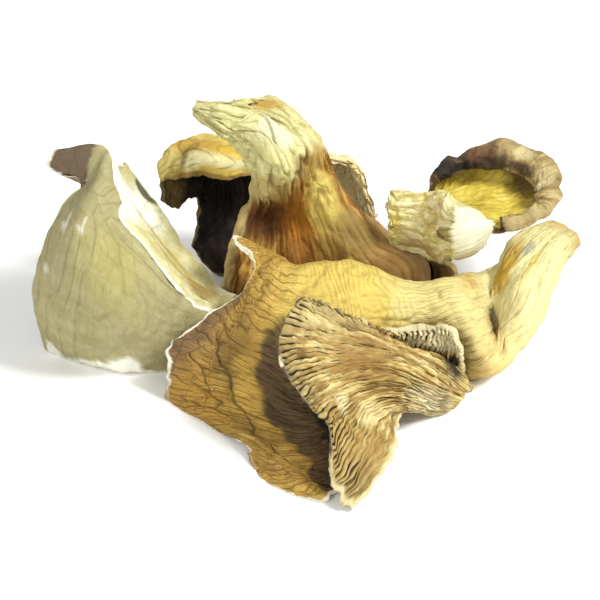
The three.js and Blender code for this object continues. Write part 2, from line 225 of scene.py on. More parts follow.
def flesh_sheet(name, rows, flesh, stem, ragged, phase, steps, folds, bumps, tears, cracks, patch):
    """The sheet of flesh, as a closed mesh through rows of guide points in mm. Places on it go from 0
    to 1 across the cap and from 0 at the stem's end to 1 at the margin. flesh is its thickness in mm
    from the one to the other, stem the share of the way that the stem takes, ragged how uneven the
    margin is, phase what sets its waves apart from another's, and steps are its faces across and
    along. folds are soft folds of (mm deep, mm long, share of the cap across), bumps are (place,
    size, mm high), tears in the margin are (place across, width, depth as a share of the length),
    and cracks are (share of the full width, places that it passes). patch is the outline of a part
    coloured apart from the rest: a skin of its own on most caps, and a painted shadow on the front one."""
    across, along = np.meshgrid(np.linspace(0, 1, steps[0] + 1), np.linspace(0, 1, steps[1] + 1))

    def middle(u, v):
        """Places on the sheet's middle surface, with its margin torn back and its sides uneven."""
        torn = 0
        for place, width, depth in tears:
            torn = torn + depth * np.exp(-(((u - place) / width) ** 2))
        fine = 0.3 * ragged * waves(3.1 * u, 2 * phase) * v**8
        drawn = v * (1 - v * v * (ragged * (0.5 + 0.5 * waves(u, phase)) + torn)) - np.abs(fine)
        side = 0.5 + (u - 0.5) * (1 - ragged * (0.5 + 0.5 * waves(1.3 * v, phase + 1)))
        return along_rows(rows, side, drawn)

    right, left = np.minimum(across + SLOPE_STEP, 1), np.maximum(across - SLOPE_STEP, 0)
    outer, inner = np.minimum(along + SLOPE_STEP, 1), np.maximum(along - SLOPE_STEP, 0)
    slope_u = middle(right, along) - middle(left, along)
    slope_v = middle(across, outer) - middle(across, inner)
    normal = np.cross(slope_u, slope_v)
    normal /= np.linalg.norm(normal, axis=-1, keepdims=True) + 1e-12
    roundness = STEM_ROUNDNESS + FLATTENING * np.minimum(1, along / stem)
    swell = np.sqrt(np.clip(1 - np.abs(2 * across - 1) ** roundness, 0, 1))
    full = along_line(flesh, along)
    half = 0.5 * (MARGIN + np.maximum(full - MARGIN, 0) * swell)

    centre = middle(across, along)
    length = np.mean([line_length(centre[:, i]) for i in range(0, steps[0] + 1, 10)])
    width = np.array([line_length(row) for row in centre])[:, None]
    lift = np.zeros_like(across)
    for seed, (depth, fold_length, share) in enumerate(folds):
        place = np.stack([across / share, along * length / fold_length, 0 * along + phase], -1)
        lift += depth * np.clip(along / FOLDS_START, 0, 1) * unevenness(place, 1.0, seed + 1)
    for place, size, height in bumps:
        away = ((across - place[0]) / size[0]) ** 2 + ((along - place[1]) / size[1]) ** 2
        lift += height * np.exp(-away)
    centre = centre + normal * lift[..., None]

    # Cracks and the patch's outline wander a little to each side.
    drawn_across = across + JITTER * unevenness(centre, JITTER_SIZE, 5) / width
    drawn_along = along + JITTER * unevenness(centre, JITTER_SIZE, 6) / length
    to_crack = np.full_like(across, FAR)
    for wide, path in cracks:
        away = path_distance(path, drawn_across, drawn_along, width, length)
        to_crack = np.minimum(to_crack, away / wide)
    in_patch = np.full_like(across, -FAR)
    if patch:
        away = path_distance(patch + patch[:1], drawn_across, drawn_along, width, length)
        in_patch = np.where(inside(patch, drawn_across, drawn_along), away, -away)
    groove = CRACK_DEPTH * np.clip(1 - to_crack / CRACK_WIDTH, 0, 1)
    skin = centre + normal * (half - groove)[..., None]
    under = centre - normal * half[..., None]

    # The stem's end bulges a little, in rows of points from the one face to the other.
    outward = -slope_v[0].mean(0) / np.linalg.norm(slope_v[0].mean(0))
    thick = np.linalg.norm(skin[0] - under[0], axis=-1)[:, None]
    end_rows = []
    for k in range(1, END_STEPS):
        share = k / END_STEPS
        flat_row = (1 - share) * skin[0] + share * under[0]
        rough = END_ROUGHNESS * unevenness(flat_row, 2.5, 7)[:, None]
        bulge = END_BULGE * 4 * share * (1 - share)
        end_rows.append(flat_row + outward * thick * (bulge + rough))
    end = np.array(end_rows)[:, 1:-1]

    # Both faces are split alike. Three strips and the bulging end close them.
    count = across.size
    index = np.arange(count).reshape(across.shape)
    end_index = 2 * count + np.arange(end[..., 0].size).reshape(end.shape[:2])
    a, b = index[:-1, :-1].ravel(), index[:-1, 1:].ravel()
    c, d = index[1:, 1:].ravel(), index[1:, :-1].ravel()
    end_ring = np.concatenate([index[:1, 1:-1], end_index, count + index[:1, 1:-1]])
    p, q = end_ring[:-1], end_ring[1:]
    rounded = np.stack([p[:, 1:], p[:, :-1], q[:, :-1], q[:, 1:]], -1).reshape(-1, 4)
    faces = [np.stack([a, b, c, d], 1), count + np.stack([a, d, c, b], 1), rounded]
    for p, q in (
        (index[-1, 1:], index[-1, :-1]),
        (index[1:, 0], index[:-1, 0]),
        (index[:-1, -1], index[1:, -1]),
    ):
        faces.append(np.stack([q, p, count + p, count + q], 1))
    corners = [
        [*end_ring[:, 0], count, 0],
        [*end_ring[::-1, -1], steps[0], count + steps[0]],
    ]
    points = np.concatenate([skin.reshape(-1, 3), under.reshape(-1, 3), end.reshape(-1, 3)])
    mesh = bpy.data.meshes.new(name)
    mesh.from_pydata(
        ((points - MIDDLE) * MILLIMETRE).tolist(), [], np.concatenate(faces).tolist() + corners
    )
    smooth = np.arange(len(mesh.polygons)) < 2 * len(a) + len(rounded)
    mesh.polygons.foreach_set("use_smooth", smooth)

    # What the relief and the materials follow: the place on the sheet, the side, whether it is the
    # stem's end, half the thickness there, and how many mm it is to the margin, to a crack (divided
    # by that crack's share of the full width) and into the patch.
    end_across = np.broadcast_to(across[0, 1:-1], end.shape[:2])
    nothing = np.zeros(end.shape[:2])
    to_edge = np.minimum((1 - along) * length, np.minimum(across, 1 - across) * width)
    for key, both, at_end in (
        ("across", across, end_across),
        ("along", along, nothing),
        ("edge", to_edge, nothing + length),
        ("to_crack", to_crack, nothing + FAR),
        ("half", half, nothing + half[0].mean()),
        ("patch", in_patch, nothing - FAR),
    ):
        layer = mesh.attributes.new(key, "FLOAT", "POINT")
        layer.data.foreach_set("value", np.concatenate([both.ravel(), both.ravel(), at_end.ravel()]))
    side = mesh.attributes.new("gill_side", "FLOAT", "POINT")
    side.data.foreach_set("value", np.repeat([0.0, 1.0, 0.5], [count, count, end_across.size]))
    cut = mesh.attributes.new("cut", "FLOAT", "POINT")
    cut.data.foreach_set("value", np.repeat([0.0, 1.0], [2 * count, end_across.size]))
    return mesh


DEEPEST = 0.6  # share of half the flesh's thickness that a crease may take
GILL_RISE, GILL_FALL = 0.22, 0.12  # shares of the way over which the gills rise and end
SMOOTH_CUT = 0.85  # share of the relief that the cut end of a stem lacks


def flesh_relief():
    """The node tree that raises the gills on the one side of a sheet and draws creases on the other.
    Heights and depths are in metres, and starts and ends are shares of the way from the stem's end
    to the margin. Gills and Creases count those side by side, Crease bends the turns of a crease on
    its way, and Puckers those in a metre. Wobble is how many gills aside a gill wanders."""
    tree = bpy.data.node_groups.new("flesh_relief", "GeometryNodeTree")
    tree.is_modifier = True
    interface = tree.interface
    interface.new_socket("Geometry", in_out="INPUT", socket_type="NodeSocketGeometry")
    for socket in (
        "Gills", "Gill height", "Gill start", "Gill end", "Wobble", "Crease depth", "Crease width",
        "Creases", "Crease bends", "Pucker depth", "Puckers", "Seed",
    ):
        interface.new_socket(socket, in_out="INPUT", socket_type="NodeSocketFloat")
    interface.new_socket("Flesh", in_out="INPUT", socket_type="NodeSocketMaterial")
    interface.new_socket("Geometry", in_out="OUTPUT", socket_type="NodeSocketGeometry")
    given = add(tree, "NodeGroupInput").outputs

    def attribute(name):
        made = add(tree, "GeometryNodeInputNamedAttribute", {"Name": name}, data_type="FLOAT")
        return made.outputs["Attribute"]

    def calculate(operation, *values):
        return add(tree, "ShaderNodeMath", dict(enumerate(values)), operation=operation).outputs[0]

    def smooth(value, low, high):
        sockets = {"Value": value, "From Min": low, "From Max": high}
        made = add(tree, "ShaderNodeMapRange", sockets, interpolation_type="SMOOTHSTEP")
        return made.outputs["Result"]

    def between(amount, first, second):
        return add(tree, "ShaderNodeMix", {"Factor": amount, 2: first, 3: second}).outputs[0]

    def cloud(x, y, detail):
        place = add(tree, "ShaderNodeCombineXYZ", {"X": x, "Y": y, "Z": given["Seed"]}).outputs[0]
        sockets = {"Vector": place, "Scale": 1.0, "Detail": detail}
        return add(tree, "ShaderNodeTexNoise", sockets).outputs[0]

    def stored(geometry, name, value):
        sockets = {"Geometry": geometry, "Name": name, "Value": value}
        settings = {"data_type": "FLOAT", "domain": "POINT"}
        return add(tree, "GeometryNodeStoreNamedAttribute", sockets, **settings).outputs[0]

    across, along, gill_side = attribute("across"), attribute("along"), attribute("gill_side")
    whole = calculate("MULTIPLY_ADD", attribute("cut"), -SMOOTH_CUT, 1.0)
    from_middle = calculate("ABSOLUTE", calculate("MULTIPLY_ADD", across, 2.0, -1.0))
    inset = calculate("SUBTRACT", 1.0, calculate("POWER", from_middle, 8.0))

    # Gills: blades that wander from side to side. Inside the cap they lie pressed together. Near the
    # margin they stand thin and high, with slots between them, and they end just before it.
    place_across = calculate("MULTIPLY", across, given["Gills"])
    wander = cloud(calculate("MULTIPLY", place_across, 0.35), calculate("MULTIPLY", along, 5.0), 1.0)
    sideways = calculate("SUBTRACT", wander, 0.5)
    blade_phase = calculate("MULTIPLY_ADD", sideways, given["Wobble"], place_across)
    blade = calculate("MULTIPLY", calculate("PINGPONG", blade_phase, 0.5), 2.0)
    pressed = calculate("SUBTRACT", 1.0, calculate("POWER", calculate("SUBTRACT", 1.0, blade), 2.4))
    thin = calculate("POWER", blade, 0.75)
    near_margin = smooth(along, 0.8, 0.95)
    profile = between(near_margin, pressed, thin)
    level = cloud(calculate("MULTIPLY", place_across, 0.8), calculate("MULTIPLY", along, 14.0), 2.0)
    uneven = calculate("MULTIPLY_ADD", smooth(level, 0.36, 0.6), 0.7, 0.3)
    blade_height = calculate("MULTIPLY", profile, uneven)
    rise = smooth(along, given["Gill start"], calculate("ADD", given["Gill start"], GILL_RISE))
    fall = smooth(along, given["Gill end"], calculate("SUBTRACT", given["Gill end"], GILL_FALL))
    at_margin = smooth(along, 0.995, 0.96)
    lowered = calculate("MULTIPLY", calculate("MULTIPLY", rise, fall), at_margin)
    envelope = calculate("MULTIPLY", calculate("MULTIPLY", lowered, inset), whole)
    high = calculate("MULTIPLY", given["Gill height"], calculate("MULTIPLY_ADD", near_margin, 0.25, 0.75))
    gills = calculate("MULTIPLY", calculate("MULTIPLY", blade_height, envelope), high)

    # Creases: narrow valleys along the cap, and a fine pucker all over. Where the flesh is thin they
    # are kept shallow, so that the one face never comes through the other.
    crease_across = calculate("MULTIPLY", across, given["Creases"])
    crease_cloud = cloud(crease_across, calculate("MULTIPLY", along, given["Crease bends"]), 1.0)
    from_line = calculate("ABSOLUTE", calculate("SUBTRACT", crease_cloud, 0.5))
    crease = calculate("SUBTRACT", 1.0, smooth(from_line, 0.0, given["Crease width"]))
    position = add(tree, "GeometryNodeInputPosition").outputs[0]
    sockets = {0: position, "Scale": given["Puckers"]}
    scaled = add(tree, "ShaderNodeVectorMath", sockets, operation="SCALE").outputs[0]
    pucker_cloud = add(tree, "ShaderNodeTexNoise", {"Vector": scaled, "Scale": 1.0, "Detail": 3.0})
    puckered = calculate("SUBTRACT", pucker_cloud.outputs[0], 0.5)
    pucker = calculate("MULTIPLY", puckered, given["Pucker depth"])
    inward = calculate("MULTIPLY", given["Crease depth"], -1.0)
    hollow = calculate("MULTIPLY_ADD", calculate("MULTIPLY", crease, inset), inward, pucker)
    deepest = calculate("MULTIPLY", attribute("half"), -DEEPEST * MILLIMETRE)
    drawn_in = calculate("MAXIMUM", hollow, deepest)

    # The relief lifts each side along its normal. Its height and the gills' extent are kept for the
    # material.
    damped = calculate("MULTIPLY", drawn_in, calculate("MULTIPLY_ADD", envelope, -0.7, 1.0))
    raised = between(gill_side, drawn_in, calculate("ADD", gills, damped))
    lift = calculate("MULTIPLY", raised, whole)
    normal = add(tree, "GeometryNodeInputNormal").outputs[0]
    offset = add(tree, "ShaderNodeVectorMath", {0: normal, "Scale": lift}, operation="SCALE").outputs[0]
    shown = calculate("MULTIPLY", profile, calculate("MULTIPLY_ADD", uneven, 0.4, 0.6))
    ridge = between(envelope, crease, shown)
    measured = stored(given["Geometry"], "relief", between(gill_side, crease, ridge))
    marked = stored(measured, "gilled", calculate("MULTIPLY", envelope, gill_side))
    moved = add(tree, "GeometryNodeSetPosition", {"Geometry": marked, "Offset": offset})
    realized = add(tree, "GeometryNodeRealizeInstances", {"Geometry": moved.outputs[0]})
    sockets = {"Geometry": realized.outputs[0], "Material": given["Flesh"]}
    finished = add(tree, "GeometryNodeSetMaterial", sockets)
    add(tree, "NodeGroupOutput", {"Geometry": finished.outputs[0]})
    return tree


relief_tree = flesh_relief()
ON_SURFACE = 1e-7  # metres from the surface within which a point of the cut counts as on it


def fruit_body(
    name, rows, flesh, stem, ragged, phase, steps, relief, material,
    folds=(), bumps=(), tears=(), cracks=(), patch=(),
):
    """A finished fruit body: the sheet with its relief, cut flat where it rests on the surface."""
    drawn = (folds, bumps, tears, cracks, list(patch))
    sheet = flesh_sheet(name, rows, flesh, stem, ragged, phase, steps, *drawn)
    blank = joined(name + "_blank", sheet)
    modifier = blank.modifiers.new("relief", "NODES")
    modifier.node_group = relief_tree
    sockets = {s.name: s.identifier for s in relief_tree.interface.items_tree if s.in_out == "INPUT"}
    for key, value in {**relief, "Seed": phase, "Flesh": material}.items():
        modifier[sockets[key]] = value
    bpy.context.view_layer.update()
    graph = bpy.context.evaluated_depsgraph_get()
    mesh = bpy.data.meshes.new_from_object(blank.evaluated_get(graph), depsgraph=graph)
    mesh.name = name
    bpy.data.objects.remove(blank)

    shape = bmesh.new()
    shape.from_mesh(mesh)
    parts = list(shape.verts) + list(shape.edges) + list(shape.faces)
    surface = {"plane_co": (0, 0, 0), "plane_no": (0, 0, 1)}
    bmesh.ops.bisect_plane(shape, geom=parts, dist=ON_SURFACE, clear_inner=True, **surface)
    open_edges = [edge for edge in shape.edges if edge.is_boundary]
    if open_edges:
        cut = bmesh.ops.holes_fill(shape, edges=open_edges, sides=0)["faces"]
        bmesh.ops.triangulate(shape, faces=cut)
    shape.to_mesh(mesh)
    shape.free()
    return joined(name, mesh)


def stain(place, size, tone, strength=1.0, side=None, soft=0.4):
    """A patch of colour at a place (across, along), of a size (across, along), on the "skin", the
    "gills", the "patch", the torn "edge" or on all. strength is how much it covers what is below,
    and soft how much of it fades out."""
    return {"place": place, "size": size, "tone": tone, "strength": strength, "side": side, "soft": soft}


# How close together the clouds of colour in the flesh lie, as clouds in a metre
BROAD = 75.0  # 13 mm apart: the light and dark areas of a cap
MOTTLED = 420.0  # 2.4 mm: spots in the skin
WANDERING = 260.0  # 3.8 mm: the ragged outline of a stain
FADING = 150.0  # 6.7 mm: where lines fade out
CROSS_FADING = 110.0  # 9 mm: the same for the folds across a bend
BENDING = 230.0  # 4.3 mm: the bends of the cracks round plates of skin
PORES = 1500.0  # 0.7 mm: coarser than real pores, which would not show
CRACK_SHADE = 0.65  # how dark the cracks are drawn
BUMP_DEPTH = 0.0005  # metres


def dried_flesh(
    name, skin, streak, gill, valley_shade, edge, end, stains=(), patch=None, patch_fade=0.1, seam=None,
    streaks=60.0, wrinkles=45.0, lengthwise=True, lines=0.5, stem_lines=0.5, network=0.0, cross=0.0,
    slots=0.5, bare=1.1, seed=0.0,
):
    """Dried mushroom flesh: leathery and matt, with fibres along the cap. skin, gill and patch are
    (dark, middle, light) colours, and the others single ones: streak that of the lines along the
    skin, valley_shade the painted shade in the valleys between the gills, edge at the torn margin,
    which is bare mm wide, end at the cut end, and seam round the patch, which fades out over
    patch_fade mm to each side. streaks is how many fibres lie side by side, wrinkles how many long
    lines, and lengthwise whether these run along the cap. lines, stem_lines, network, cross and
    slots are how strong the lines, those on the stem, cracks round plates of skin near the margin,
    folds across the bend of the stem, and the painted shade in the valleys show."""
    material = bpy.data.materials.new(name)
    material.use_nodes = True
    tree = material.node_tree
    shader = tree.nodes["Principled BSDF"]
    shader.inputs["Roughness"].default_value = 0.72  # dry and leathery, with a faint sheen
    shader.inputs["Specular IOR Level"].default_value = 0.3

    def attribute(key):
        return add(tree, "ShaderNodeAttribute", attribute_name=key).outputs["Fac"]

    def calculate(operation, *values, clamp=False):
        sockets = dict(enumerate(values))
        return add(tree, "ShaderNodeMath", sockets, operation=operation, use_clamp=clamp).outputs[0]

    def smooth(value, low, high):
        sockets = {"Value": value, "From Min": low, "From Max": high}
        made = add(tree, "ShaderNodeMapRange", sockets, interpolation_type="SMOOTHSTEP")
        return made.outputs["Result"]

    def blended(amount, first, second, how="MIX"):
        sockets = {0: amount, 6: first, 7: second}
        return add(tree, "ShaderNodeMix", sockets, data_type="RGBA", blend_type=how).outputs[2]

    def scaled(colour, amount):
        sockets = {0: colour, "Scale": amount}
        return add(tree, "ShaderNodeVectorMath", sockets, operation="SCALE").outputs[0]

    def cloud(vector, scale, detail, rough=0.55, output="Fac"):
        sockets = {"Vector": vector, "Scale": scale, "Detail": detail, "Roughness": rough}
        return add(tree, "ShaderNodeTexNoise", sockets).outputs[output]

    def on_sheet(x, y, shift):
        sockets = {
            "X": calculate("MULTIPLY_ADD", across, x, seed + shift),
            "Y": calculate("MULTIPLY", along, y),
            "Z": seed + shift,
        }
        return add(tree, "ShaderNodeCombineXYZ", sockets).outputs[0]

    def veins(x, y, wobble, width, shift):
        """Thin dark lines round cells, with x of the cells across the sheet and y along it."""
        turns = cloud(place, BENDING, 2.0, output="Color")
        from_middle = {0: turns, 1: (0.5, 0.5, 0.5)}
        bend = add(tree, "ShaderNodeVectorMath", from_middle, operation="SUBTRACT").outputs[0]
        sockets = {0: bend, 1: (wobble, wobble, 0.0), 2: on_sheet(x, y, shift)}
        bent = add(tree, "ShaderNodeVectorMath", sockets, operation="MULTIPLY_ADD").outputs[0]
        settings = {"feature": "DISTANCE_TO_EDGE", "voronoi_dimensions": "2D"}
        cells = add(tree, "ShaderNodeTexVoronoi", {"Vector": bent, "Scale": 1.0}, **settings)
        return smooth(cells.outputs["Distance"], width, 0.0)

    def ripples(over, count, x, y, shift, width):
        """Thin dark lines that wander side by side, count of them over the coordinate given."""
        wavy = calculate("MULTIPLY", cloud(on_sheet(x, y, shift), 1.0, 2.0), 6.0)
        phase = calculate("MULTIPLY_ADD", over, count, wavy)
        return smooth(calculate("PINGPONG", phase, 0.5), width, 0.0)

    def three_tones(tones, amount, spread=0.14):
        made = add(tree, "ShaderNodeValToRGB", {"Fac": amount})
        ramp = made.color_ramp
        ramp.elements[0].position = 0.5 - spread
        ramp.elements[1].position = 0.5 + spread
        ramp.elements.new(0.5)
        for element, tone in zip(ramp.elements, tones):
            element.color = linear(tone)
        return made.outputs["Color"]

    across, along = attribute("across"), attribute("along")
    gill_side, gilled, relief = attribute("gill_side"), attribute("gilled"), attribute("relief")
    to_edge, to_crack, cut = attribute("edge"), attribute("to_crack"), attribute("cut")
    into_patch = attribute("patch")
    place = add(tree, "ShaderNodeTexCoord").outputs["Object"]
    fibres = cloud(on_sheet(streaks, 3.0, 0.0), 1.0, 4.0, 0.6)
    broad = cloud(place, BROAD, 5.0)
    mottled = cloud(place, MOTTLED, 4.0, 0.6)
    detail = calculate("MULTIPLY_ADD", mottled, 0.35, calculate("MULTIPLY", fibres, 0.3))
    tones = calculate("MULTIPLY_ADD", broad, 0.35, detail)

    # Three tones in broad areas, which differ from blade to blade among the gills. A patch coloured
    # apart from the rest, a skin of its own on most caps and a painted shadow on the front one, covers
    # both sides.
    blade_tone = cloud(on_sheet(streaks * 0.8, 4.0, 3.0), 1.0, 3.0, 0.6)
    gill_detail = calculate("MULTIPLY_ADD", mottled, 0.25, calculate("MULTIPLY", broad, 0.2))
    gill_tones = calculate("MULTIPLY_ADD", blade_tone, 0.55, gill_detail)
    colour = blended(gill_side, three_tones(skin, tones), three_tones(gill, gill_tones, 0.09))
    if patch:
        within = smooth(into_patch, -patch_fade, patch_fade)
        colour = blended(within, colour, three_tones(patch, tones))

    # Stains, each with a ragged outline, which keep the shades of what is below.
    wander = calculate("SUBTRACT", cloud(place, WANDERING, 4.0, 0.65), 0.5)
    shade = calculate("MULTIPLY_ADD", tones, 1.3, 0.35)
    masks = {"skin": calculate("SUBTRACT", 1.0, gill_side), "gills": gill_side}

    def stained(below, spot):
        (u, v), (wide, high), soft = spot["place"], spot["size"], spot["soft"]
        x = calculate("MULTIPLY_ADD", across, 1 / wide, -u / wide)
        y = calculate("MULTIPLY_ADD", along, 1 / high, -v / high)
        squares = calculate("MULTIPLY_ADD", x, x, calculate("MULTIPLY", y, y))
        ragged = calculate("MULTIPLY_ADD", wander, 0.3 + 1.6 * soft, calculate("SQRT", squares))
        amount = calculate("MULTIPLY", smooth(ragged, 1 + soft, 1 - soft), spot["strength"])
        if spot["side"]:
            amount = calculate("MULTIPLY", amount, masks[spot["side"]])
        return blended(amount, below, scaled(linear(spot["tone"])[:3], shade))

    if patch:
        masks["patch"] = within
    for spot in stains:
        if spot["side"] != "edge":
            colour = stained(colour, spot)
    if seam:
        along_seam = calculate("MULTIPLY", within, smooth(into_patch, 1.5, 0.5))
        colour = blended(along_seam, colour, linear(seam))

    # Lines in the skin, long and fine, which fade in and out and darken whatever is below.
    over, x, y = (across, 0.14 * wrinkles, 8.0) if lengthwise else (along, 3.0, 0.3 * wrinkles)
    long_lines = calculate("MULTIPLY", ripples(over, wrinkles, x, y, 7.0, 0.16), 0.8)
    fine_lines = calculate("MULTIPLY", ripples(over, 2.4 * wrinkles, 2 * x, 2 * y, 9.0, 0.2), 0.45)
    fading = smooth(cloud(place, FADING, 2.0), 0.3, 0.52)
    long_lines = calculate("MULTIPLY", long_lines, fading)
    line = calculate("MAXIMUM", long_lines, calculate("MULTIPLY", fine_lines, smooth(mottled, 0.35, 0.6)))
    on_cap = smooth(along, 0.35, 0.6)
    line = calculate("MULTIPLY", line, calculate("MULTIPLY_ADD", on_cap, 1 - stem_lines, stem_lines))
    if cross:
        round_bend = calculate("MULTIPLY", smooth(along, 0.48, 0.56), smooth(along, 0.78, 0.7))
        folded = calculate("MULTIPLY", ripples(along, 85.0, 9.0, 12.0, 11.0, 0.28), cross)
        folded = calculate("MULTIPLY", folded, smooth(cloud(place, CROSS_FADING, 2.0), 0.34, 0.6))
        straight = calculate("MULTIPLY_ADD", round_bend, -0.85, 1.0)
        line = calculate("MULTIPLY_ADD", line, straight, calculate("MULTIPLY", folded, round_bend))
    if network:
        near_edge = smooth(along, 0.85, 0.91)
        plated = calculate("MULTIPLY", veins(11.0, 26.0, 0.8, 0.03, 13.0), near_edge)
        line = calculate("MAXIMUM", line, calculate("MULTIPLY", plated, network))
    # The relief's creases darken the colour as well: painted shade in the creases.
    line = calculate("MAXIMUM", line, calculate("MULTIPLY", relief, 0.45))
    off_gills = calculate("SUBTRACT", 1.0, gilled)
    off_end = calculate("MULTIPLY_ADD", cut, -0.8, 1.0)
    line = calculate("MULTIPLY", line, calculate("MULTIPLY", off_gills, off_end))
    cracked = calculate("MULTIPLY", smooth(to_crack, 0.5, 0.1), masks["skin"])
    cracked = calculate("MULTIPLY", cracked, CRACK_SHADE)
    darkened = calculate("MAXIMUM", calculate("MULTIPLY", line, lines), cracked)
    colour = blended(darkened, colour, linear(streak), "MULTIPLY")

    # Painted shade in the valleys between the gills, here and there and most of all along the margin.
    low = calculate("MULTIPLY", smooth(relief, 0.54, 0.2), gilled)
    here = smooth(cloud(on_sheet(streaks * 0.4, 9.0, 5.0), 1.0, 2.0), 0.44, 0.6)
    slotted = calculate("MULTIPLY", smooth(along, 0.78, 0.9), calculate("MULTIPLY_ADD", here, 0.3, 0.7))
    here = calculate("MAXIMUM", here, slotted)
    depth = calculate("MULTIPLY", low, calculate("MULTIPLY_ADD", here, slots, 0.2 * slots), clamp=True)
    if patch:
        depth = calculate("MULTIPLY", depth, calculate("MULTIPLY_ADD", within, -0.8, 1.0))
    colour = blended(depth, colour, linear(valley_shade))

    # The cut end, and the torn edge: bare flesh, in a band that comes and goes.
    colour = blended(cut, colour, scaled(linear(end)[:3], shade))
    bared = smooth(calculate("MULTIPLY_ADD", wander, 1.6, to_edge), bare, 0.35 * bare)
    masks["edge"] = calculate("MULTIPLY", bared, 0.95)
    colour = blended(masks["edge"], colour, linear(edge))
    for spot in stains:
        if spot["side"] == "edge":
            colour = stained(colour, spot)
    tree.links.new(colour, shader.inputs["Base Color"])

    # Fibres, lines and pores under half a millimetre, in the shading alone.
    pores = cloud(place, PORES, 3.0, 0.65)
    fibrous = calculate("MULTIPLY", fibres, calculate("MULTIPLY_ADD", cut, -0.4, 0.4))
    rough = calculate("MULTIPLY_ADD", pores, 0.5, fibrous)
    height = calculate("MULTIPLY_ADD", darkened, -0.8, rough)
    sockets = {"Height": height, "Strength": 0.7, "Distance": BUMP_DEPTH}
    tree.links.new(add(tree, "ShaderNodeBump", sockets).outputs["Normal"], shader.inputs["Normal"])
    return material


front_flesh = dried_flesh(
    "dried_flesh_ochre_skin",
    skin=("#8C6A2C", "#B48F3E", "#D2B45E"),
    streak="#4A3018",
    gill=("#B08A4C", "#D2B67C", "#E4D6AA"),
    valley_shade="#4A3417",
    edge="#ECE6D2",
    end="#D8CC98",
    # The patch is painted shadow: the shadow of the gill-side cap on this skin, beside its rim.
    patch=("#4E3C22", "#604A2C", "#705836"),
    streaks=70.0,
    wrinkles=54.0,
    lines=0.74,
    stem_lines=0.3,
    network=0.7,
    cross=0.36,
    patch_fade=0.8,
    bare=0.9,
    stains=(
        stain((0.80, 0.62), (0.18, 0.18), "#CDB65A", 0.9, "skin"),
        stain((0.72, 0.46), (0.25, 0.09), "#D4C680", 0.9, "skin"),
        stain((0.45, 0.20), (0.60, 0.20), "#D6CD92", 0.95, "skin"),
        stain((0.30, 0.43), (0.34, 0.12), "#D6C27E", 0.8),
        stain((0.66, 0.17), (0.09, 0.06), "#B08A28", 0.85, "skin"),
        stain((0.63, 0.21), (0.10, 0.05), "#B8962E", 0.8, "skin"),
        # Brownish-grey painted shade in the fold where the stem meets the arch.
        stain((0.56, 0.34), (0.12, 0.035), "#8F8254", 0.7, "skin"),
        stain((0.44, 0.33), (0.05, 0.02), "#C08428", 0.85, "skin"),
        stain((0.56, 0.125), (0.04, 0.018), "#8A8A78", 0.7, "skin"),
        stain((0.40, 0.12), (0.03, 0.10), "#C4B24C", 0.7, "skin"),
        stain((0.22, 0.47), (0.12, 0.06), "#C09C58", 0.6, "skin"),
        stain((0.60, 0.99), (0.14, 0.055), "#6C543A", 0.9, "skin", 0.6),
        stain((0.30, 1.00), (0.18, 0.30), "#A68648", 1.0, "edge", 0.15),
        stain((0.245, 1.00), (0.02, 0.30), "#E8E4D0", 1.0, "edge", 0.2),
        stain((0.61, 0.89), (0.10, 0.035), "#7E6230", 0.85, "skin", 0.7),
        stain((0.50, 0.855), (0.10, 0.022), "#C8A248", 0.8, "skin"),
        stain((0.45, 0.95), (0.10, 0.05), "#B48A34", 0.6, "skin"),
        stain((0.38, 0.89), (0.05, 0.025), "#94702E", 0.7, "skin", 0.7),
        stain((0.70, 0.88), (0.05, 0.05), "#A98640", 0.7, "skin", 0.7),
        stain((0.14, 0.93), (0.08, 0.03), "#9A7434", 0.6, "skin", 0.7),
        # Near-black painted shade in the gap along the left edge of the gill-side cap's lower lobe.
        stain((0.490, 0.744), (0.030, 0.014), "#120C06", 0.95, "skin", 0.6),
        stain((0.420, 0.752), (0.050, 0.009), "#120C06", 0.95, "skin", 0.6),
        stain((0.340, 0.762), (0.040, 0.007), "#120C06", 0.9, "skin", 0.6),
        stain((0.080, 0.880), (0.060, 0.012), "#120C06", 0.9, "skin", 0.5),
    ),
    seed=0.4,
)
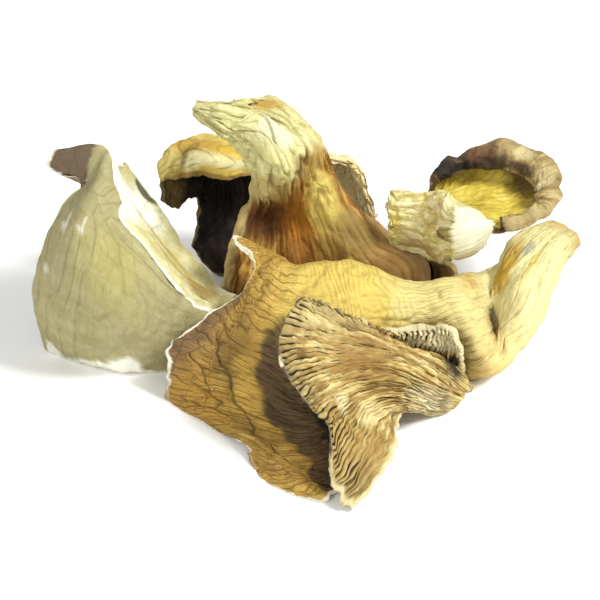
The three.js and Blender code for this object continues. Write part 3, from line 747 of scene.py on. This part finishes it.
front = fruit_body(
    "front_fruit_body",
    [
        [(57.5, 29, 15.5), (58, 29, 17), (57, 29, 18.5), (56, 30, 18.5), (55, 31, 19), (53.5, 31.5, 19.5),
         (52.5, 32, 19.5), (51.5, 32.5, 19)],
        [(54, 26, 13.5), (53.5, 24, 16.5), (52.5, 23, 18.5), (51, 23, 19), (49, 23, 20), (47.5, 24, 20),
         (46, 26, 19), (44.5, 29, 16)],
        [(51.5, 20, 12), (50, 16, 15.5), (48.5, 14, 17.5), (46.5, 14, 18), (45, 15, 18), (43.5, 18, 17),
         (43, 22, 15), (43, 26, 12)],
        [(49.5, 13, 9), (47.5, 9, 12.5), (46, 6, 15), (44, 7, 15), (42, 11, 13), (40.5, 15, 12.5),
         (39, 19, 14), (38.5, 24, 9.5)],
        [(45.5, 6, 6), (44, 3, 8), (42, 3, 8.5), (40.5, 5, 8.5), (39, 8, 10), (37.5, 11, 12.5),
         (35, 16, 14.5), (34.5, 22, 9.5)],
        [(41, 2, 2), (39, -2, 5), (38, -3, 6.5), (36, -2, 8), (34, 0, 11.5), (32, 4, 15.5), (30, 11, 16),
         (29.5, 20, 7.5)],
        [(35, 1.5, -0.5), (33.5, 1.5, 2), (31.5, 4, 3.5), (30, 6.5, 4.5), (27.5, 7, 7.5), (24, 3, 15),
         (21.5, 9, 17), (20.5, 18, 8.5)],
        [(27, -2, -0.5), (25.5, -2.5, 1.5), (23, -1.5, 3), (20, -1, 5), (17, -2, 10), (14, -4, 19),
         (12, 5, 23.5), (11.5, 16, 12.5)],
        [(19, -11, -0.5), (17, -13, 2), (14.5, -14, 4.5), (11.5, -14, 8), (9, -12, 13), (6.5, -8, 20),
         (5, 5, 24), (4.5, 16, 13)],
        [(12, -27, 0), (9.5, -30, 2), (6.5, -30, 4), (3.5, -26, 6), (1, -20, 9.5), (-1, -10, 18.5),
         (-1, 5, 23.5), (-1.5, 16, 13.5)],
        [(8, -39, 0.5), (3.5, -38, 1.5), (-2.5, -33, 3.5), (-7.5, -22, 5), (-9, -13, 10.5), (-7.5, -6, 19),
         (-4.5, 7, 24.5), (-6, 17, 19.5)],
        [(6, -43, 1), (-1, -38, 1.5), (-10, -25, 3), (-18.5, -14, 2.5), (-18.5, -6, 10), (-11, 0, 19),
         (-7.5, 8, 24), (-10.5, 16, 24)],
        [(4, -44.5, 0), (-7.5, -36, -1), (-19, -13, -2.5), (-29, -4, -2.5), (-27.5, -2, 10.5),
         (-12.5, 3, 20), (-10, 7, 24.5), (-14, 13, 27.5)],
    ],
    flesh=[2, 4, 4.5, 4, 3.6, 3.2, 3, 2.4, 2.2, 2, 1.8, 1.4, 0.8],
    stem=0.33,
    ragged=0.03,
    phase=0.4,
    steps=(170, 270),
    relief={"Gills": 60.0, "Gill height": 0.0009, "Gill start": 0.4, "Gill end": 1.12, "Wobble": 1.5,
            "Crease depth": 0.0004, "Crease width": 0.03, "Creases": 20.0, "Crease bends": 7.0,
            "Pucker depth": 0.0014, "Puckers": 330.0},
    material=front_flesh,
    folds=[(0.9, 18, 0.22), (0.45, 7, 0.07)],
    bumps=[((0.53, 0.33), (0.10, 0.03), -1.6), ((0.62, 0.24), (0.06, 0.05), 1.0)],
    tears=[
        (0.25, 0.04, 0.05), (0.33, 0.015, 0.02), (0.385, 0.025, 0.012), (0.47, 0.02, 0.01),
        (0.62, 0.02, 0.008),
    ],
    cracks=[
        (1.0, [(0.62, 0.93), (0.60, 0.91), (0.54, 0.885), (0.48, 0.885), (0.44, 0.865), (0.41, 0.83)]),
        (0.8, [(0.44, 0.865), (0.36, 0.88), (0.30, 0.865), (0.24, 0.89)]),
        (0.8, [(0.50, 0.95), (0.48, 0.92), (0.46, 0.90), (0.43, 0.915), (0.40, 0.90)]),
        (0.7, [(0.57, 0.96), (0.54, 0.935), (0.50, 0.925), (0.48, 0.92)]),
        (0.7, [(0.54, 0.935), (0.55, 0.91), (0.54, 0.885)]),
        (0.7, [(0.46, 0.97), (0.44, 0.945), (0.43, 0.915)]),
        (0.6, [(0.66, 0.97), (0.65, 0.94), (0.66, 0.90), (0.68, 0.86)]),
        (0.6, [(0.22, 0.93), (0.20, 0.90), (0.16, 0.89)]),
    ],
    # Outline of the painted shadow of the gill-side cap.
    patch=[
        (0.74, 0.785), (0.69, 0.815), (0.64, 0.828), (0.58, 0.836), (0.51, 0.842), (0.45, 0.840),
        (0.38, 0.828), (0.28, 0.820), (0.12, 0.870), (0.04, 0.930), (-0.1, 0.930), (-0.1, 0.68),
        (0.74, 0.68),
    ],
)
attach(front, "root")
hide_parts("front_mushroom")


# Gill-side fruit body
# A cap that lies on the front one with its gills up. The gills are thin blades of cream flesh, which
# drying has bent and split, with painted shade in the slots between them. The torn margin is cream,
# with a purple-brown rim at the left.
gill_cap_flesh = dried_flesh(
    "dried_flesh_cream_gills",
    skin=("#5E4636", "#7B5D47", "#977756"),
    streak="#3E2C20",
    gill=("#765A2A", "#A68A4A", "#D2C486"),
    valley_shade="#261A0E",
    edge="#C9BD90",
    end="#CFC292",
    streaks=75.0,
    slots=1.1,
    bare=1.25,
    stains=(
        stain((0.60, 0.96), (0.24, 0.10), "#A8935E", 0.7, "gills", 0.6),
        stain((0.61, 1.00), (0.24, 0.20), "#604A3C", 1.0, "edge", 0.1),
        stain((0.585, 1.00), (0.012, 0.05), "#E8E2B0", 1.0, "edge", 0.1),
        stain((0.62, 0.55), (0.14, 0.12), "#96743C", 0.6, "gills", 0.6),
        stain((0.88, 0.84), (0.12, 0.18), "#A08446", 0.7, "gills", 0.6),
        stain((0.78, 0.72), (0.04, 0.05), "#D8CC9C", 0.8, "gills"),
        stain((0.88, 0.58), (0.04, 0.08), "#D0C28C", 0.6, "gills"),
        stain((0.42, 0.78), (0.09, 0.16), "#C2B47C", 0.6, "gills", 0.6),
        stain((0.80, 0.18), (0.12, 0.12), "#D4CAA2", 0.7, "gills", 0.6),
        stain((0.10, 0.86), (0.14, 0.16), "#D8CEA4", 0.85, "gills"),
        # Near-black painted shade in the hollow between the lower lobe and the cap, at the lobe's right
        # end.
        stain((0.33, 0.12), (0.07, 0.07), "#1A1008", 0.95, "gills", 0.6),
        stain((0.01, 0.52), (0.07, 0.16), "#1A1008", 0.97, "gills", 0.3),
    ),
    seed=1.4,
)
gill_cap = fruit_body(
    "gill_side_fruit_body",
    [
        [(34, -8, 5), (33.5, -8, 4.5), (33, -8, 4.5), (33, -8, 4), (32, -9, 4), (31.5, -9, 3),
         (31, -10, 3), (30, -11, 2), (28.5, -12, 1.5), (27, -12, 0)],
        [(33, -4, 3), (31.5, -3, 3.5), (28.5, -5, 6.5), (26.5, -10, 10), (25.5, -13, 10.5),
         (24.5, -16, 11), (24, -18, 10.5), (23.5, -18, 8.5), (23.5, -17, 6), (23.5, -14, 2)],
        [(33, -3, 4.5), (30.5, -2, 6), (24, -4, 9), (21, -11, 13), (18.5, -15, 16), (16.5, -20, 17.5),
         (16.5, -24, 17), (16.5, -26, 15), (17.5, -26, 12), (20, -21, 6)],
        [(32.5, -8, 11), (28.5, -6, 11.5), (20.5, -6, 12.5), (16, -12, 17), (10, -15, 21),
         (7.5, -22, 20.5), (9, -28, 19), (10, -31, 16), (12, -34, 12.5), (19, -31, 6.5)],
        [(32.5, -10, 13), (29, -8, 15.5), (21, -7, 15.5), (12, -11, 19.5), (3.5, -12, 23.5),
         (0.5, -22, 21), (3.5, -30, 18), (6.5, -35, 15), (10, -39, 9), (17.5, -40, 6)],
        [(32.5, -11, 15), (29, -9, 19.5), (20.5, -8, 17.5), (10, -10, 21), (-0.5, -10, 25.5),
         (-4.5, -21, 20.5), (0, -30, 15), (5, -37, 13), (5.5, -45, 4.5), (9, -48.5, 0)],
    ],
    flesh=[3.6, 2.8, 2.2, 1.8, 1.4, 1],
    stem=0.33,
    ragged=0.03,
    phase=1.4,
    steps=(420, 104),
    relief={"Gills": 74.0, "Gill height": 0.0014, "Gill start": 0.0, "Gill end": 1.12, "Wobble": 2.0,
            "Crease depth": 0.0003, "Crease width": 0.05, "Creases": 14.0, "Crease bends": 5.0,
            "Pucker depth": 0.0016, "Puckers": 330.0},
    material=gill_cap_flesh,
    folds=[(1.1, 14, 0.11), (0.5, 5, 0.04)],
    tears=[(0.93, 0.02, 0.03)],
)
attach(gill_cap, "root")
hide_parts("gill_side_mushroom")


# Standing fruit body
# The stem stands on top and bends to the left into a torn tip. The cap spreads down to the surface
# with its gills toward the viewer, brown to bright ochre, darker red-brown at the left as painted
# shade, with a pale yellow painted highlight and a dark hollow of painted shade toward the right.
standing_flesh = dried_flesh(
    "dried_flesh_brown_gills",
    skin=("#8A6B3C", "#AF9060", "#CBB88A"),
    streak="#6E6234",
    gill=("#60401A", "#946A28", "#BE964A"),
    valley_shade="#4A2C12",
    edge="#A08A58",
    end="#CFC890",
    patch=("#A89F5E", "#C6BF82", "#DAD5A0"),
    streaks=40.0,
    wrinkles=20.0,
    lines=0.6,
    stem_lines=0.75,
    patch_fade=1.6,
    slots=0.3,
    bare=1.0,
    stains=(
        stain((0.71, 0.22), (0.10, 0.05), "#B08E38", 0.85, "gills"),
        stain((0.42, 0.31), (0.10, 0.05), "#E0DCB4", 0.8, "gills"),
        stain((0.45, 0.10), (0.12, 0.10), "#D6D498", 0.8, "gills"),
        stain((0.62, 0.46), (0.12, 0.06), "#A07828", 0.85, "gills"),
        stain((0.50, 0.46), (0.10, 0.05), "#7A5A20", 0.7, "gills"),
        stain((0.20, 0.49), (0.18, 0.06), "#A8965A", 0.8, "gills"),
        # Red-brown painted shade at the left of the gills.
        stain((0.16, 0.62), (0.22, 0.07), "#4E2A12", 0.85, "gills", 0.6),
        stain((0.41, 0.63), (0.09, 0.10), "#AE7422", 0.85, "gills", 0.6),
        # A pale yellow painted highlight.
        stain((0.59, 0.60), (0.09, 0.12), "#DCC86C", 0.95, "gills", 0.6),
        stain((0.40, 0.74), (0.12, 0.05), "#8A5A22", 0.7, "gills", 0.6),
        stain((0.58, 0.72), (0.10, 0.05), "#A88A44", 0.8, "gills", 0.6),
        stain((0.68, 0.71), (0.09, 0.08), "#84703A", 0.85, "gills", 0.6),
        stain((0.73, 0.85), (0.09, 0.08), "#D0A866", 0.95, "gills", 0.6),
        stain((0.95, 0.74), (0.12, 0.08), "#A88850", 0.9, "gills", 0.6),
        stain((0.77, 0.88), (0.03, 0.06), "#9A7F50", 0.8, "gills"),
        # Near-black painted shade in the hollow at the right of the cap.
        stain((0.84, 0.91), (0.05, 0.05), "#1E140A", 0.95, "gills"),
        stain((0.99, 0.88), (0.10, 0.16), "#A98C58", 0.9),
        stain((0.00, 0.72), (0.03, 0.35), "#AC9A68", 0.9),
    ),
    seed=2.4,
)
standing = fruit_body(
    "standing_fruit_body",
    [
        [(-21.5, 25, 48.5), (-21.5, 24, 49.5), (-21.5, 24, 50), (-21.5, 24, 50.5), (-21, 24, 50.5),
         (-21, 24, 51), (-21, 25, 50.5), (-21, 26, 50.5), (-21, 27, 50)],
        [(-16, 25, 43.5), (-16, 23, 46), (-16, 22, 48), (-15.5, 22, 49), (-14.5, 22, 50.5),
         (-13.5, 23, 50.5), (-12.5, 24, 50), (-11.5, 25, 50), (-11, 27, 48.5)],
        [(-11, 26, 39.5), (-11, 23, 43), (-10, 21, 46), (-9, 21, 48), (-8, 22, 48), (-7, 24, 48.5),
         (-6, 26, 48.5), (-5, 28, 47.5), (-3, 31, 45.5)],
        [(-9, 26, 35), (-7.5, 20, 40), (-5.5, 17, 43), (-3.5, 17, 44), (-1.5, 18, 45), (0, 21, 44),
         (1, 26, 42), (2, 29, 39), (2, 32, 35.5)],
        [(-10, 23, 32), (-7.5, 20, 34.5), (-5, 19, 35.5), (-2, 19, 36.5), (0.5, 21, 36), (3, 25, 35.5),
         (4.5, 29, 34), (5, 33, 30.5), (6, 36, 27)],
        [(-12, 19, 28), (-9.5, 23, 25.5), (-6, 27, 23.5), (-1.5, 28, 23.5), (2.5, 27, 24.5), (6, 28, 25),
         (9, 31, 24.5), (11, 34, 22), (12, 37, 18.5)],
        [(-15, 16, 22), (-11.5, 21, 17.5), (-6.5, 27, 14), (-1, 28, 14), (5, 28, 14.5), (11, 27, 16),
         (16.5, 29, 16), (20.5, 34, 12), (24.5, 38, 9)],
        [(-16, 15, 15), (-12.5, 18, 11), (-6.5, 23, 7), (0, 26, 4.5), (7.5, 27, 4), (15.5, 26, 6),
         (24, 26, 13), (27.5, 38, 7), (32.5, 28, 11)],
        [(-16, 16, -0.5), (-11.5, 17, -1), (-6, 17, -0.5), (1, 18, -0.5), (9.5, 19, -0.5), (18, 20, 0),
         (25.5, 22, 0), (28.5, 37, -1), (33, 27, 0)],
    ],
    flesh=[1, 3, 5, 5, 4, 2.4, 2, 1.6, 1],
    stem=0.33,
    ragged=0.03,
    phase=2.4,
    steps=(190, 210),
    relief={"Gills": 30.0, "Gill height": 0.0004, "Gill start": 0.46, "Gill end": 1.12, "Wobble": 2.8,
            "Crease depth": 0.0008, "Crease width": 0.08, "Creases": 12.0, "Crease bends": 7.0,
            "Pucker depth": 0.0016, "Puckers": 280.0},
    material=standing_flesh,
    folds=[(1.1, 20, 0.10), (0.6, 6, 0.06)],
    bumps=[
        ((0.31, 0.40), (0.06, 0.05), -2.2),
        ((0.44, 0.42), (0.05, 0.05), 1.4),
        ((0.63, 0.60), (0.06, 0.08), -1.0),
        ((0.16, 0.62), (0.12, 0.05), 1.2),
    ],
    patch=[
        (-0.1, -0.1), (1.1, -0.1), (1.1, 0.42), (0.80, 0.43), (0.70, 0.45), (0.62, 0.47), (0.54, 0.45),
        (0.47, 0.48), (0.36, 0.48), (0.24, 0.50), (0.10, 0.53), (-0.1, 0.55),
    ],
)
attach(standing, "root")
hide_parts("standing_mushroom")


# Back fruit body
# The cap stands behind the others with its gills toward the viewer, painted near black as the shade
# deep in its hollow. Its margin is rolled forward at the left, where the yellow skin shows, and
# stands up as a plain flap at the right, whose pale skin is painted lighter still as painted light.
back_flesh = dried_flesh(
    "dried_flesh_yellow_skin_painted_shade",
    skin=("#A08A40", "#C2AE58", "#DCD090"),
    streak="#6E5422",
    # The gill side is painted near black, and the margin and the cut end dark brown: painted shade deep in
    # the hollow of the cap.
    gill=("#0C0805", "#1A120A", "#33261A"),
    valley_shade="#080503",
    edge="#6E5C38",
    end="#3A2C1C",
    # The flap's own pale skin, painted lighter still as painted light on it.
    patch=("#E8D292", "#F2E0A8", "#F8ECC0"),
    streaks=30.0,
    wrinkles=16.0,
    lines=0.5,
    slots=0.4,
    bare=0.25,
    stains=(
        stain((0.74, 0.84), (0.10, 0.04), "#B08E3C", 0.9, "skin"),
        stain((0.64, 0.86), (0.06, 0.05), "#C4A63C", 0.9, "skin"),
        stain((0.70, 0.92), (0.05, 0.04), "#F4EEB8", 0.85, "skin", 0.7),
        stain((0.62, 0.93), (0.05, 0.03), "#DED6A0", 0.8, "skin"),
        stain((0.66, 0.97), (0.05, 0.025), "#D6B848", 0.8, "skin"),
        stain((0.70, 0.99), (0.16, 0.015), "#8A6C34", 0.8, "skin"),
        stain((0.79, 0.92), (0.03, 0.06), "#D8C878", 0.85, "skin"),
        stain((0.745, 0.90), (0.008, 0.06), "#7C7036", 0.8, "skin", 0.6),
        stain((0.97, 0.92), (0.14, 0.12), "#6B5633", 0.95, "gills"),
    ),
    seed=3.4,
)
back = fruit_body(
    "back_fruit_body",
    [
        [(4.5, 42, -0.5), (3, 44, -1), (1, 45, -1.5), (-1, 45, -1.5), (-3, 44, -1), (-6.5, 42, -1)],
        [(7.5, 44, 3), (5, 47, 3), (1, 49, 2.5), (-4.5, 49, 2.5), (-12, 47, 2), (-17.5, 44, 0)],
        [(10.5, 44, 9), (7.5, 48, 10.5), (2, 51, 11.5), (-5, 52, 11), (-14, 50, 9.5), (-23, 45, 6)],
        [(13, 43, 13.5), (9.5, 47, 17), (4, 51, 18.5), (-4.5, 53, 18.5), (-14.5, 51, 17),
         (-22.5, 44, 12.5)],
        [(14, 43, 14), (11, 46, 23), (5.5, 48, 25), (-4.5, 51, 26.5), (-16, 49, 27), (-22, 42, 19.5)],
        [(15, 43, 14.5), (11, 43, 27.5), (6.5, 44, 29), (-7.5, 48, 30), (-20, 43, 33.5), (-23.5, 38, 22)],
        [(16, 43, 15), (13, 42, 25), (8, 42, 29.5), (-10.5, 43, 30), (-27, 35, 34.5), (-26, 35, 21.5)],
        [(16, 43, 15.5), (14.5, 42, 22), (9.5, 42, 28.5), (-12.5, 39, 25.5), (-28, 31, 29.5),
         (-28, 33, 23)],
    ],
    flesh=[4, 4, 2.6, 2, 1.8, 1.6, 1.4, 1],
    stem=0.33,
    ragged=0.03,
    phase=3.4,
    steps=(150, 160),
    relief={"Gills": 40.0, "Gill height": 0.0005, "Gill start": 0.25, "Gill end": 0.6, "Wobble": 1.5,
            "Crease depth": 0.0006, "Crease width": 0.08, "Creases": 12.0, "Crease bends": 9.0,
            "Pucker depth": 0.0016, "Puckers": 250.0},
    material=back_flesh,
    folds=[(0.9, 8, 0.10)],
    patch=[(-0.1, 0.30), (0.40, 0.30), (0.42, 0.60), (0.46, 0.80), (0.46, 1.1), (-0.1, 1.1)],
)
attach(back, "root")
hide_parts("back_mushroom")


# Bowl-shaped fruit body
# The stem leans up from the surface and opens into a bowl, with a smooth yellow inside. The brown
# margin is rolled inward all round and dried hard; its dark patches are partly its own brown and
# partly painted shade under the roll.
bowl_flesh = dried_flesh(
    "dried_flesh_brown_rim",
    skin=("#B49C38", "#D4C04E", "#E4D674"),
    streak="#8A6A22",
    gill=("#6E5A36", "#927C4C", "#B4A26C"),
    valley_shade="#3A2A16",
    edge="#5E4A2E",
    end="#B8A878",
    streaks=30.0,
    wrinkles=20.0,
    lines=0.35,
    bare=0.8,
    stains=(
        # Dark patches round the rolled margin: partly its own brown, partly painted shade under the roll.
        stain((0.06, 0.90), (0.15, 0.16), "#231A10", 0.97, "gills"),
        stain((0.20, 0.86), (0.06, 0.10), "#4A3A28", 0.9, "gills"),
        stain((0.16, 0.96), (0.10, 0.08), "#1E140C", 0.9, "gills"),
        stain((0.27, 0.86), (0.05, 0.08), "#6E4E2E", 0.85, "gills"),
        stain((0.31, 0.95), (0.08, 0.07), "#2A1C10", 0.9, "gills"),
        stain((0.36, 0.80), (0.04, 0.06), "#A08A58", 0.8, "gills"),
        stain((0.42, 0.82), (0.04, 0.05), "#BFB080", 0.8, "gills"),
        stain((0.46, 0.94), (0.08, 0.05), "#3A2614", 0.85, "gills"),
        stain((0.58, 0.84), (0.05, 0.08), "#B8A878", 0.8, "gills"),
        # A cream painted highlight on the rim.
        stain((0.62, 0.93), (0.03, 0.03), "#E8E0C0", 0.85, "gills", 0.3),
        stain((0.90, 0.80), (0.14, 0.14), "#B4A270", 0.8, "gills"),
        # Dark brown and olive on the inner wall: painted shade.
        stain((0.53, 0.64), (0.12, 0.07), "#4E3416", 0.9, "skin"),
        stain((0.68, 0.62), (0.10, 0.05), "#8A7028", 0.7, "skin"),
        # A pale painted highlight on the yellow inside.
        stain((0.57, 0.50), (0.02, 0.03), "#F0E090", 0.8, "skin", 0.3),
    ),
    seed=4.4,
)
bowl = fruit_body(
    "bowl_fruit_body",
    [
        [(26.5, 44, -1), (27, 44, -1), (28, 43, -1), (28.5, 42, -1), (29, 41, -1), (29, 40, -1),
         (29.5, 39, -1)],
        [(26, 47, 4.5), (27, 46, 5), (28, 45, 5.5), (29, 44, 5.5), (30, 43, 5.5), (30.5, 42, 6),
         (31, 41, 6)],
        [(27, 46, 16), (28.5, 47, 15.5), (29.5, 46, 15.5), (30.5, 44, 15.5), (31.5, 41, 15), (32, 38, 15),
         (31.5, 35, 14.5)],
        [(27.5, 46, 19), (30.5, 49, 19.5), (34.5, 48, 19.5), (38.5, 44, 19), (39, 40, 18), (38, 36, 17.5),
         (35.5, 33, 16.5)],
        [(28, 46, 21), (31.5, 51, 22), (39, 51, 22), (45, 46, 20.5), (46.5, 40, 19.5), (44.5, 35, 18.5),
         (39.5, 32, 17.5)],
        [(28, 45, 22.5), (32, 50, 24.5), (43, 53, 27.5), (52.5, 49, 26), (54.5, 40, 23), (51, 35.5, 20.5),
         (42, 31.5, 18)],
        [(28, 42, 25), (32.5, 46, 26.5), (42.5, 48, 28), (50, 45, 26), (51.5, 38, 24), (49.5, 35.5, 22),
         (42, 31.5, 19.5)],
        [(29, 42, 23.5), (34, 45, 24.5), (42.5, 47, 24.5), (47.5, 44, 23.5), (49, 38, 23), (48.5, 35, 21),
         (41.5, 33, 20)],
    ],
    flesh=[4, 4, 3.5, 2.2, 1.8, 1.8, 1.4, 1],
    stem=0.33,
    ragged=0.02,
    phase=4.4,
    steps=(180, 150),
    relief={"Gills": 44.0, "Gill height": 0.0008, "Gill start": 0.3, "Gill end": 0.65, "Wobble": 1.5,
            "Crease depth": 0.0003, "Crease width": 0.05, "Creases": 12.0, "Crease bends": 5.0,
            "Pucker depth": 0.0016, "Puckers": 250.0},
    material=bowl_flesh,
    folds=[(1.1, 9, 0.10), (0.5, 4, 0.05)],
    bumps=[
        ((0.19, 0.90), (0.02, 0.20), 1.3),
        ((0.10, 0.90), (0.05, 0.12), -0.9),
        ((0.30, 0.90), (0.06, 0.12), -0.9),
    ],
)
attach(bowl, "root")
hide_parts("bowl_mushroom")


# Small fruit body
# A thick pale stem, cut off at the right, with a short cap that flares out at the left. The flesh
# is cream, with shallow ridges along it, and the cut end is paler and bulges a little.
small_flesh = dried_flesh(
    "dried_flesh_pale_stem",
    skin=("#C2B272", "#D6CC94", "#E2DAAE"),
    streak="#8F8048",
    gill=("#C6B66C", "#DCD298", "#EAE4BC"),
    valley_shade="#8F8048",
    edge="#C9BE84",
    end="#D6D2B4",
    streaks=26.0,
    wrinkles=14.0,
    lines=0.6,
    slots=0.4,
    bare=0.5,
    stains=(
        stain((0.50, 0.86), (0.22, 0.10), "#C6B452", 0.75, "gills"),
        stain((0.75, 0.50), (0.10, 0.30), "#A88A50", 0.75, "gills"),
        stain((0.28, 0.24), (0.12, 0.10), "#BCA468", 0.6, "gills"),
        # A dark crescent of painted shade in the small hollow near the cut end.
        stain((0.49, 0.12), (0.085, 0.16), "#564626", 0.9, "gills", 0.15),
        stain((0.47, 0.07), (0.075, 0.15), "#A89A5E", 0.95, "gills", 0.15),
    ),
    seed=0.9,
)
small = fruit_body(
    "small_fruit_body",
    [
        [(34.5, 20, 30), (35, 17, 29), (35, 16, 26.5), (35, 17, 22.5), (34, 20, 18)],
        [(32.5, 25, 28.5), (32.5, 22, 27.5), (32.5, 21, 24.5), (32, 22, 20.5), (32, 25, 16.5)],
        [(27.5, 29, 28), (27.5, 27, 26.5), (27.5, 26, 23), (27, 26.5, 19.5), (27, 27.5, 16)],
        [(21.5, 30, 28.5), (21, 28, 26), (21, 27, 22.5), (21, 27, 19.5), (21, 28, 16.5)],
        [(19, 31, 27.5), (17.5, 28, 26), (18, 27, 23), (18, 27, 20), (19, 28.5, 16.5)],
    ],
    flesh=[10.5, 10, 7, 3.5, 1],
    stem=1,
    ragged=0.04,
    phase=0.9,
    steps=(130, 100),
    relief={"Gills": 7.0, "Gill height": 0.0006, "Gill start": 0.05, "Gill end": 1.12, "Wobble": 2.4,
            "Crease depth": 0.0005, "Crease width": 0.08, "Creases": 12.0, "Crease bends": 4.0,
            "Pucker depth": 0.0018, "Puckers": 300.0},
    material=small_flesh,
    folds=[(0.8, 9, 0.14), (0.4, 4, 0.06)],
    bumps=[((0.47, 0.08), (0.09, 0.06), -0.9)],
)
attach(small, "root")
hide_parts("small_mushroom")


# Left fruit body
# A cap folded like a shell, with its smooth khaki skin toward the viewer. The skin is torn off along
# the fold, where the pale flesh shows, and a tip of the margin is curled over and brown.
left_flesh = dried_flesh(
    "dried_flesh_khaki_skin",
    skin=("#8D8556", "#9F976A", "#AEA77E"),
    streak="#7E7440",
    gill=("#5E4E38", "#77654E", "#8F7E64"),
    valley_shade="#3A2E20",
    edge="#E6E2CE",
    end="#CFC8A0",
    patch=("#B4A868", "#D0CA94", "#E2DEBC"),
    seam="#F2F0E0",
    streaks=30.0,
    wrinkles=11.0,
    lengthwise=False,
    lines=0.35,
    bare=0.8,
    stains=(
        stain((0.34, 0.52), (0.14, 0.16), "#A09650", 0.6, "skin", 0.7),
        stain((0.36, 0.32), (0.22, 0.10), "#A39A70", 0.7, "skin", 0.5),
        stain((0.48, 0.80), (0.24, 0.22), "#958D62", 0.75, "skin", 0.7),
        # A near-white painted highlight on the bare flesh of the strip.
        stain((0.82, 0.66), (0.15, 0.17), "#F4F4E4", 0.95, "patch", 0.4),
        stain((0.84, 0.40), (0.035, 0.20), "#B09A40", 0.8, "skin", 0.5),
        stain((0.76, 0.30), (0.025, 0.14), "#A8923C", 0.7, "skin", 0.5),
        stain((0.72, 0.18), (0.10, 0.07), "#8A6E28", 0.8, "skin", 0.6),
        stain((0.96, 0.22), (0.10, 0.12), "#B0A670", 0.7, "skin"),
        # A dark sliver along the curled upper edge: painted shade.
        stain((0.99, 0.70), (0.03, 0.08), "#45452A", 0.9, None, 0.2),
        stain((0.66, 0.97), (0.20, 0.085), "#5F4E3C", 0.97, "skin", 0.10),
        stain((0.31, 0.785), (0.012, 0.020), "#E2DECA", 0.6, "skin", 0.9),
        stain((0.33, 0.765), (0.030, 0.010), "#E2DECA", 0.6, "skin", 0.9),
        stain((0.33, 0.690), (0.010, 0.020), "#E2DECA", 0.55, "skin", 0.9),
        stain((0.36, 0.680), (0.030, 0.006), "#E2DECA", 0.55, "skin", 0.9),
        stain((0.20, 0.810), (0.008, 0.020), "#E2DECA", 0.55, "skin", 0.9),
        stain((0.00, 0.46), (0.045, 0.09), "#F0EEE0", 0.95, "skin", 0.25),
        stain((0.00, 0.55), (0.022, 0.20), "#F0EEE0", 0.95, "skin", 0.25),
        stain((0.00, 0.82), (0.03, 0.05), "#F0EEE0", 0.95, "skin", 0.25),
    ),
    seed=5.4,
)
left = fruit_body(
    "left_fruit_body",
    [
        [(-15, 7, 7), (-15, 7, 8), (-15, 7.5, 9), (-15, 8, 10), (-15, 8, 10.5), (-14.5, 8.5, 11),
         (-14, 9, 12), (-13.5, 9.5, 13.5), (-12.5, 10, 15)],
        [(-21, 5.5, 4), (-21, 5, 8), (-21, 5, 12), (-20.5, 6, 13.5), (-20, 7, 14), (-20, 8, 14),
         (-19, 10, 14), (-18, 12, 13), (-16.5, 15, 14)],
        [(-28, 5, -0.5), (-28.5, 2, 9), (-28, 1, 16), (-27, 1, 20), (-26.5, 2, 21), (-26, 3, 22),
         (-25, 7, 21), (-22.5, 15, 15.5), (-19.5, 20, 16)],
        [(-34, 4.5, -0.5), (-34, -3, 14.5), (-34, -3, 22.5), (-32.5, -1, 27.5), (-32, 1, 28), (-31, 3, 29),
         (-30, 9, 27.5), (-27.5, 19, 20), (-24, 24, 18.5)],
        [(-40, 6, -0.5), (-41.5, -2, 16), (-40.5, -2, 26.5), (-38.5, 2, 32), (-38, 4.5, 33), (-37, 7, 34),
         (-35, 12, 34.5), (-32, 22, 25.5), (-28, 27, 24.5)],
        [(-46, 9, -1), (-48, 2, 16), (-46, 2, 29), (-43.5, 6, 35.5), (-42, 8.5, 37), (-40.5, 11, 38.5),
         (-38, 17, 39.5), (-35.5, 26, 29.5), (-32, 29, 29.5)],
        [(-51.5, 13, -1), (-53.5, 9, 15), (-50.5, 9, 27), (-46, 13, 34), (-43.5, 15.5, 36.5),
         (-42, 17, 38), (-39.5, 22, 42.5), (-38, 28, 34), (-35.5, 31, 33.5)],
        [(-52.5, 14, -1), (-53.5, 11, 14), (-51, 11, 27), (-47, 15, 34.5), (-42.5, 17, 38),
         (-50.5, 20, 38), (-50, 22, 41.5), (-38, 28, 36), (-36.5, 32, 33.5)],
    ],
    flesh=[3, 3, 2.4, 2, 1.8, 1.6, 1.4, 1],
    stem=0.33,
    ragged=0.02,
    phase=5.4,
    steps=(190, 170),
    relief={"Gills": 50.0, "Gill height": 0.0004, "Gill start": 0.25, "Gill end": 1.0, "Wobble": 1.5,
            "Crease depth": 0.0, "Crease width": 0.02, "Creases": 8.0, "Crease bends": 3.0,
            "Pucker depth": 0.0008, "Puckers": 250.0},
    material=left_flesh,
    folds=[(0.5, 16, 0.2), (0.25, 5, 0.3)],
    cracks=[(0.9, [(0.605, 0.40), (0.60, 0.37), (0.585, 0.32), (0.57, 0.28), (0.50, 0.235)])],
    patch=[
        (1.1, 1.1), (0.80, 1.1), (0.76, 0.92), (0.73, 0.85), (0.74, 0.72), (0.715, 0.66), (0.72, 0.59),
        (0.65, 0.56), (0.62, 0.50), (0.62, 0.44), (0.60, 0.37), (0.58, 0.28), (0.40, 0.19), (0.40, -0.1),
        (1.1, -0.1),
    ],
)
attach(left, "root")
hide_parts("left_mushroom")
